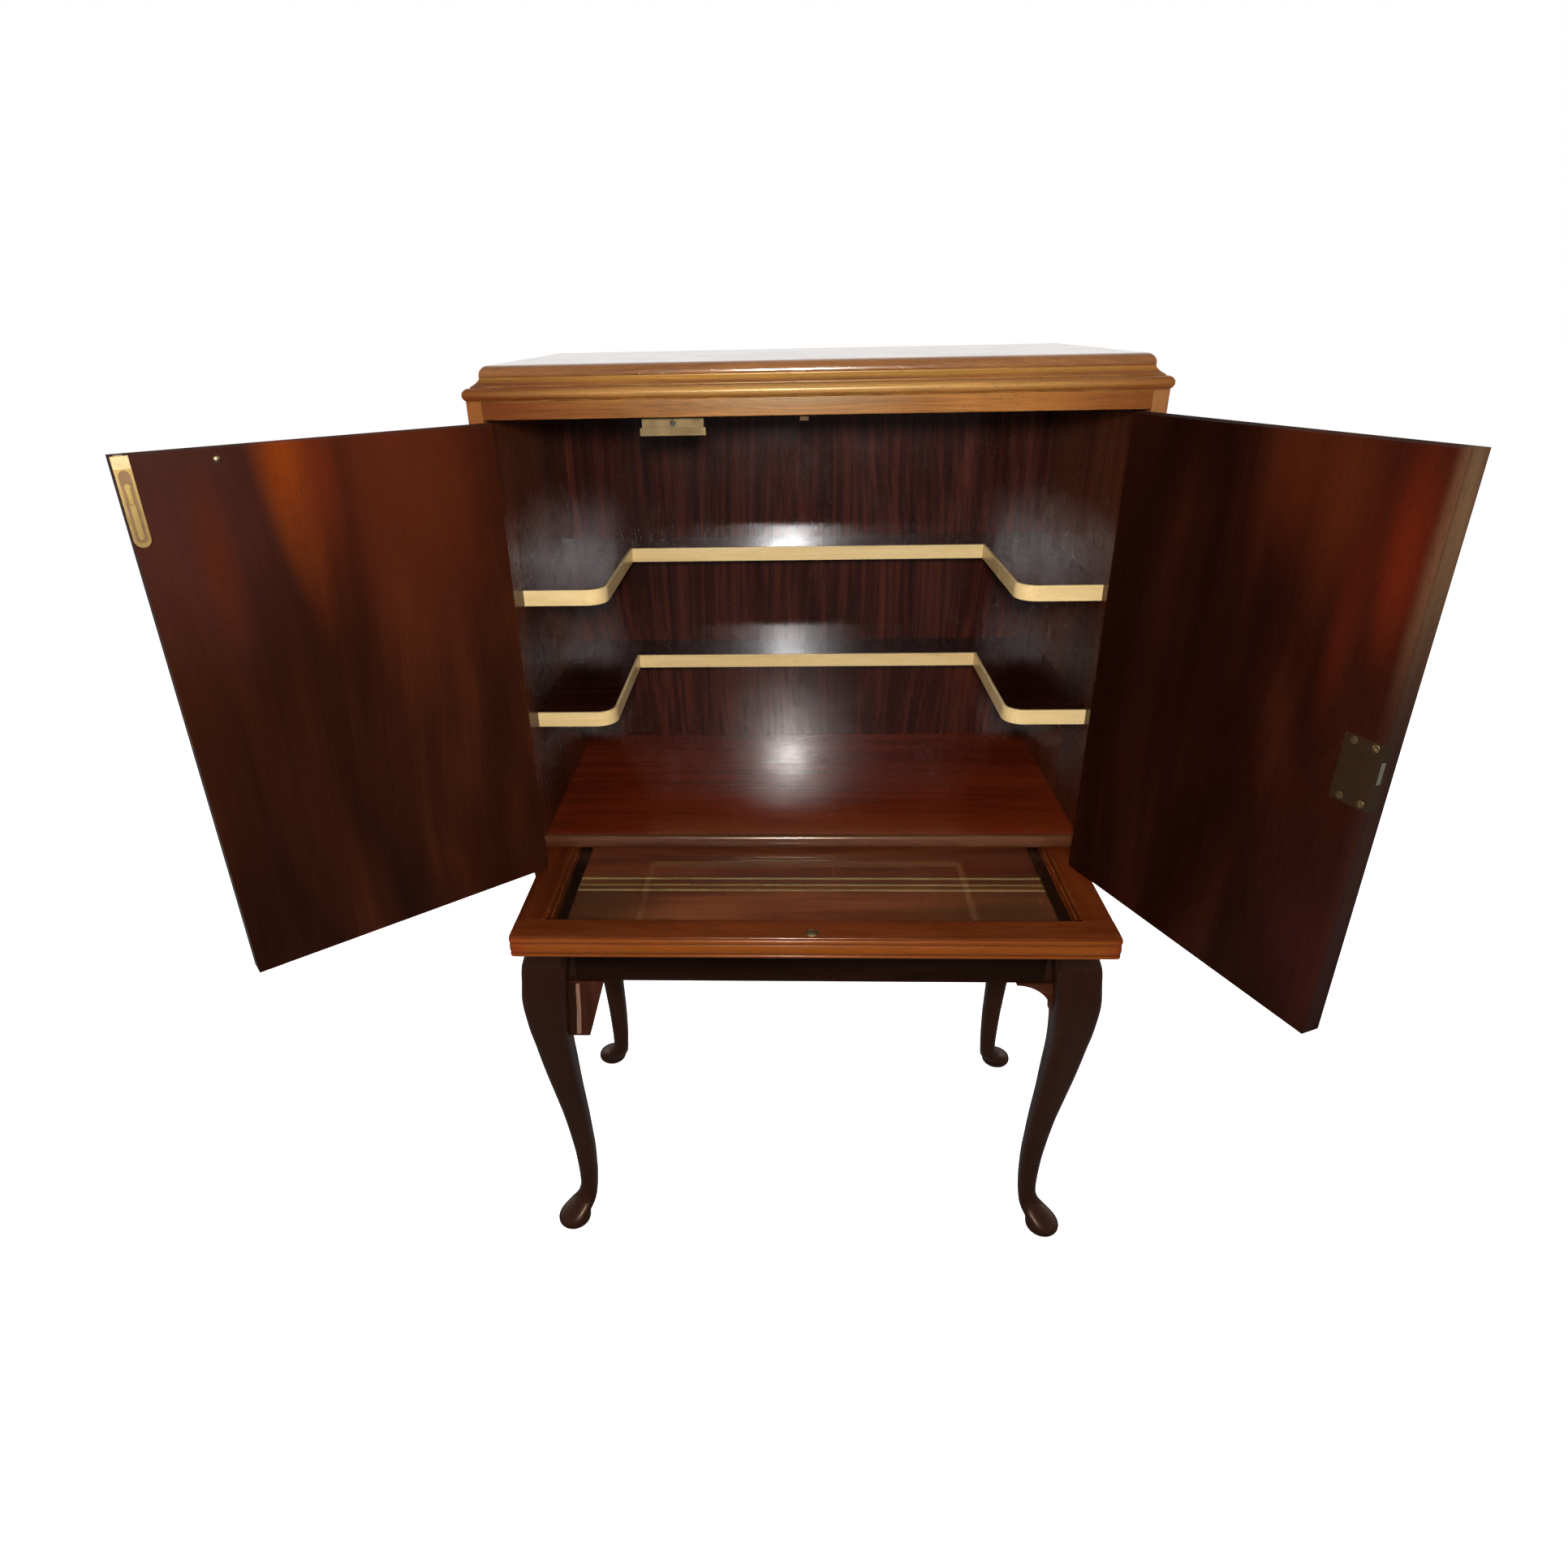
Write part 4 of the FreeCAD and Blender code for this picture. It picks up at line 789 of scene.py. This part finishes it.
def flush_bolt():
    """The left door's bolt, with a round-ended plate, a dark channel, a bar and a pale head, and its stud."""
    door = "left_door"
    bm = bmesh.new()
    door_plate(bm, door, stadium(BOLT_ALONG, *BOLT_PLATE, round_top=False), sunk=1.8, proud=0.15)
    settle(bm, "bolt_plate_finished", BRASS, node="bolt_plate", width=0.0003)
    bm = bmesh.new()
    door_plate(bm, door, stadium(BOLT_ALONG, *BOLT_CHANNEL), sunk=0.1, proud=0.25)
    settle(bm, "bolt_plate_channel", BRONZE, body=door, slot="brass", width=0.0)
    bm = bmesh.new()
    door_plate(bm, door, BOLT_HEAD, sunk=0.0, proud=0.24)
    settle(bm, "bolt_plate_head", BRIGHT_BRASS, body=door, slot="brass", width=0.00005)
    bm = shape_of("flush_bolt")
    door_plate(bm, door, stadium(BOLT_ALONG, *BOLT_BAR), sunk=0.1, proud=0.9)
    settle(bm, "flush_bolt_finished", BRASS, node="flush_bolt", width=0.0003)
    bm = bmesh.new()
    away = on_door(door, 0, 1, 0) - on_door(door, 0, 0, 0)
    lathe(bm, on_door(door, STUD_ALONG, DOOR_FACE, STUD_HEIGHT), away, STUD_PROFILE, STUD_POINTS)
    settle(bm, "left_door_stud", BRIGHT_BRASS, body=door, slot="brass", width=0.0)


# The tray's lines: where each starts and ends from front to back, in mm, and in m how far they stay
# from the tray's ends and half their height.
INLAY_LINES = ((-41.0, -37.5), (-28.0, -24.5), (-12.0, -8.0))
INLAY_SHORTER, INLAY_HALF = 0.0200, 0.0006
# The dark strips beside them, painted shadow where the frame's rebates shade the tray: how far out they
# lie, half their width, how far they stay from the tray's ends and reach under its top, and how far they
# rise, in m.
STRIP_OUT, STRIP_HALF, STRIP_SUNK, STRIP_RISE = 0.3135, 0.007, 0.0005, 0.003


def tray_inlay():
    """Three dull pale lines let into the tray."""
    low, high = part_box("slide_tray")
    for number, (near, far) in enumerate(INLAY_LINES):
        bm = bmesh.new()
        block(bm, (low.x + INLAY_SHORTER, CASE_Y + near * MM, high.z - INLAY_HALF),
              (high.x - INLAY_SHORTER, CASE_Y + far * MM, high.z + INLAY_HALF))
        settle(bm, f"slide_tray_inlay_{number + 1}", timber("inlay", "X"), body="slide", slot="tray_board",
               width=0.0003)


def tray_shadow_strips():
    """A dark strip on the tray along each side, under the glass: painted shadow of the frame's rebate."""
    low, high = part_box("slide_tray")
    for name, side in (("left", -1), ("right", 1)):
        middle = (low.x + high.x) / 2 + side * STRIP_OUT
        bm = bmesh.new()
        block(bm, (middle - STRIP_HALF, low.y + STRIP_SUNK, high.z - STRIP_SUNK),
              (middle + STRIP_HALF, high.y - STRIP_SUNK, high.z + STRIP_RISE))
        settle(bm, f"slide_tray_edge_{name}", timber("stand", "Y"), body="slide", slot="tray_board",
               width=0.0006)


# The lip of the switch's housing and how much shorter the button is, in m, and the button's width and
# height as a share of its solid's.
LIP_WIDER, LIP_FORWARD, LIP_TALL = 0.0022, 0.0016, 0.0085
BUTTON_SLIMMER, BUTTON_SHORTER = 0.955, 0.0001


def switch_lip():
    """The broader lower edge of the switch's housing."""
    low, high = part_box("switch_housing")
    bm = bmesh.new()
    block(bm, (low.x - LIP_WIDER, low.y - LIP_FORWARD, low.z),
          (high.x + LIP_WIDER, low.y + LIP_WIDER, low.z + LIP_TALL))
    settle(bm, "switch_housing_lip", PALE_BRASS, body=BODY["switch_housing"], slot="brass", width=0.0009)


def button():
    """The switch's button, a little slimmer and shorter than its hole."""
    bm = shape_of("switch_button")
    low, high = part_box("switch_button")
    centre = (low + high) / 2
    for vert in bm.verts:
        vert.co.x = centre.x + (vert.co.x - centre.x) * BUTTON_SLIMMER
        vert.co.z = centre.z + (vert.co.z - centre.z) * BUTTON_SLIMMER
        vert.co.y = min(vert.co.y, high.y - BUTTON_SHORTER)
    settle(bm, "switch_button_finished", BLACK, node="switch_button", width=0.0004)


# The split bracket's two parts in x and z, in mm, and where their front and back lie, in m.
SPLIT_PARTS = (
    ("bracket_front_left_leg_side", "leg",
     [(-348.0, 477.5), (-331.8, 477.5), (-334.5, 430.0), (-338.6, 385.5), (-350.0, 384.5)]),
    ("bracket_front_left_bare_edge", "bare",
     [(-331.4, 475.5), (-326.0, 477.0), (-328.0, 430.0), (-331.6, 386.5), (-338.2, 385.5), (-334.1, 430.0)]))
SPLIT_FRONT, SPLIT_BACK = Vector((0.0, -0.0166, 0.0)), Vector((0.0, -0.0150, 0.0))


def split_bracket():
    """Beside the left front leg: dark wood left on the leg, then a bare pale strip where it has split."""
    for name, kind, outline in SPLIT_PARTS:
        points = [at(x, 0, z) for x, z in outline]
        bm = bmesh.new()
        prism(bm, [point + SPLIT_FRONT for point in points], [point + SPLIT_BACK for point in points])
        settle(bm, name, timber(kind, "Z"), body="cabinet", slot=SLOT["bracket_front_left"], width=0.0003)


for node, kind, axis in (
        ("cap_board", "cap", "X"), ("cornice_front", "golden", "X"), ("cornice_left", "golden", "Y"),
        ("cornice_right", "golden", "Y"), ("cornice_back", "golden", "X"), ("frieze_rail", "golden", "X"),
        ("side_left", "side", "Z"), ("side_right", "side", "Z"), ("case_top", "inside", "X"),
        ("floor_board", "ground", "X"), ("shelf_upper", "inside", "X"), ("shelf_lower", "low_shelf_in_painted_shade", "X"),
        ("back_panel", "inside", "Z"), ("shelf_upper_edging", "pale", "X"),
        ("shelf_lower_edging", "pale", "X"), ("door_left", "door", "Z"), ("door_right", "dark_door", "Z"),
        ("slide_stile_left", "slide", "Y"), ("slide_stile_right", "slide", "Y"),
        ("slide_back_rail", "slide", "X"), ("slide_tray", "tray", "X"), ("rail_front", "stand", "X"),
        ("rail_back", "stand", "X"), ("rail_left", "stand", "Y"), ("rail_right", "stand", "Y"),
        ("bracket_front_left", "ear", "Z"), ("bracket_front_right", "ear", "X"),
        ("bracket_side_front_left", "stand", "Z"), ("bracket_side_front_right", "stand", "Z"),
        ("bracket_side_back_left", "stand", "Z"), ("bracket_side_back_right", "stand", "Z"),
        ("slide_guide_left", "stand", "Y"), ("slide_guide_right", "stand", "Y"),
        ("case_rear_rail", "stand", "X"), ("corner_blocks", "block", "Z")):
    dress(node, timber(kind, axis))

for node, material, width in (
        ("hinge_case_leaves", BRASS, 0.0003), ("hinge_left_door_leaves", BRASS, 0.0003),
        ("hinge_right_door_leaves", BRASS, 0.0003), ("hinge_pins", BRASS, 0.0003),
        # The slide's pull takes the rubbed brass, brighter than the rest, partly as a painted highlight.
        ("strike_plate", BRASS, 0.0003), ("slide_pull", BRIGHT_BRASS, 0.0003), ("lock_case", BRONZE, 0.0003),
        ("bolt_keeper", DEEP_BRONZE, 0.0003), ("lock_bolt", PALE_STEEL_WITH_PAINTED_GLINT, 0.0003),
        ("switch_housing", PALE_BRASS, 0.0005)):
    dress(node, material, width=width)
# The screws in the hinges and the back are flush.
for node in ("hinge_case_screws", "hinge_left_door_screws", "hinge_right_door_screws", "back_screws"):
    screws(node, BRASS, rise=-0.05)
screws("lock_screws", BRIGHT_BRASS)
slide_front()
lipping()
flush_bolt()
tray_inlay()
switch_lip()
split_bracket()
tray_shadow_strips()
dress("slide_pane", GLASS, width=0.0006)
button()
for side_name, side in (("left", -1), ("right", 1)):
    for row_name, row in (("front", -1), ("back", 1)):
        leg(f"leg_{row_name}_{side_name}", side, row)


# Floor, background and light

FLOOR_RINGS, FLOOR_POINTS, FLOOR_Z = (0.4, 1.0, 2.0, 4.0, 9.0, 20.0, 40.0), 96, -0.0002
FLOOR_GLOW, FLOOR_MIRRORED, FLOOR_PALE, FLOOR_PALE_MIRRORED = 0.82, 0.06, 0.8, 0.07
WHITE = (1.0, 1.0, 1.0, 1.0)


def looked_at(tree, path, mirrored):
    """1 for what the camera sees plainly or through glass, and the given share for mirror images."""
    reflected = calc(tree, "MULTIPLY", path["Is Glossy Ray"], mirrored)
    plain = calc(tree, "MAXIMUM", path["Is Camera Ray"], reflected)
    return calc(tree, "MAXIMUM", plain, path["Is Transmission Ray"])


def floor():
    """A broad, pale floor that glows evenly for the camera."""
    bm = bmesh.new()
    centre = bm.verts.new((0.0, 0.0, FLOOR_Z))
    turns = [2 * math.pi * i / FLOOR_POINTS for i in range(FLOOR_POINTS)]
    rows = [[bm.verts.new((reach * math.cos(turn), reach * math.sin(turn), FLOOR_Z)) for turn in turns]
            for reach in FLOOR_RINGS]
    for i in range(FLOOR_POINTS):
        j = (i + 1) % FLOOR_POINTS
        bm.faces.new((centre, rows[0][i], rows[0][j]))
        for inner, outer in zip(rows, rows[1:]):
            bm.faces.new((inner[i], outer[i], outer[j], inner[j]))
    mesh = mesh_of(bm, "floor")
    material, tree = blank("pale_floor")
    path = put(tree, "LightPath").outputs
    seen = looked_at(tree, path, FLOOR_MIRRORED)
    pale = spread(tree, path["Is Glossy Ray"], 0.0, 1.0, FLOOR_PALE, FLOOR_PALE_MIRRORED)
    shade = put(tree, "BsdfDiffuse", {"Color": thrice(tree, pale)})
    glow = put(tree, "Emission", {"Color": WHITE, "Strength": calc(tree, "MULTIPLY", seen, FLOOR_GLOW)})
    both = put(tree, "AddShader", {0: shade.outputs[0], 1: glow.outputs[0]})
    put(tree, "OutputMaterial", {"Surface": both.outputs[0]})
    mesh.materials.append(material)
    add_object("floor", mesh)


# The room's mirror image is dark behind the camera and bright behind the cabinet; its light is weak.
ROOM_DARK_UNTIL, ROOM_BRIGHT_FROM, ROOM_DARK = -0.1, 0.8, 0.07
ROOM_LIGHT = 0.25


def surroundings():
    """A white background that gives only a weak light."""
    world = bpy.data.worlds.new("pale_room")
    bpy.context.scene.world = world
    world.use_nodes = True
    tree = world.node_tree
    tree.nodes.clear()
    path = put(tree, "LightPath").outputs
    height = put(tree, "SeparateXYZ", {0: put(tree, "TexCoord").outputs["Generated"]}).outputs["Y"]
    behind = spread(tree, height, ROOM_DARK_UNTIL, ROOM_BRIGHT_FROM, ROOM_DARK, 1.0, smooth=True)
    strength = spread(tree, looked_at(tree, path, behind), 0.0, 1.0, ROOM_LIGHT, 1.0)
    light = put(tree, "Background", {"Color": WHITE, "Strength": strength})
    put(tree, "OutputWorld", {"Surface": light.outputs[0]})


def lamp(name, place, aim, size, power, mirrored=False):
    """A round lamp that is turned to a point."""
    data = bpy.data.lights.new(name, "AREA")
    data.shape = "DISK"
    data.size = size
    data.energy = power
    light = add_object(name, data)
    light.location = place
    light.rotation_mode = "QUATERNION"
    light.rotation_quaternion = (Vector(aim) - Vector(place)).to_track_quat("-Z", "Y")
    light.visible_glossy = mirrored


EYE = at(-27.767, -1125.024, 1328.908)
FLASH = EYE + Vector((0.004, 0.0, 0.082))
MIDDLE = Vector((0.06, 0.1, 0.65))

floor()
surroundings()
for name, place, aim, size, power, mirrored in (
        ("front_lamp", FLASH, at(0, 100, 850), 0.10, 15.5, True),
        ("left_lamp", (-3.2, -0.6, 2.2), MIDDLE, 2.4, 60.0, False),
        ("right_lamp", (3.2, 0.2, 2.2), MIDDLE, 2.4, 60.0, False),
        ("back_lamp", (0.4, 3.2, 2.4), MIDDLE, 2.6, 70.0, False)):
    lamp(name, place, aim, size, power, mirrored)


# Camera

# The photograph's camera: yaw, pitch and roll in degrees, the rest in pixels of the square picture.
CAMERA_TURN = (-2.57, 25.75, 1.24)
PICTURE, FOCAL, CENTRE_X, CENTRE_Y = 1932, 1191.644, 922.849, 964.843
SENSOR = 36.0


def camera():
    """The camera as it was fitted to the photograph."""
    yaw, pitch, roll = (math.radians(angle) for angle in CAMERA_TURN)
    forward = Vector((math.sin(yaw) * math.cos(pitch), math.cos(yaw) * math.cos(pitch), -math.sin(pitch)))
    right = Vector((math.cos(yaw), -math.sin(yaw), 0.0))
    down = forward.cross(right)
    across = right * math.cos(roll) + down * math.sin(roll)
    below = down * math.cos(roll) - right * math.sin(roll)
    data = bpy.data.cameras.new("camera")
    data.sensor_width = SENSOR
    data.lens = FOCAL / PICTURE * SENSOR
    data.shift_x = (PICTURE / 2 - CENTRE_X) / PICTURE
    data.shift_y = (CENTRE_Y - PICTURE / 2) / PICTURE
    data.clip_start, data.clip_end = 0.05, 100.0
    eye = add_object("camera", data)
    turn = Matrix((across, -below, -forward)).transposed()
    eye.matrix_world = Matrix.Translation(EYE) @ turn.to_4x4()
    bpy.context.scene.camera = eye


camera()
bpy.context.scene.view_settings.view_transform = "Standard"
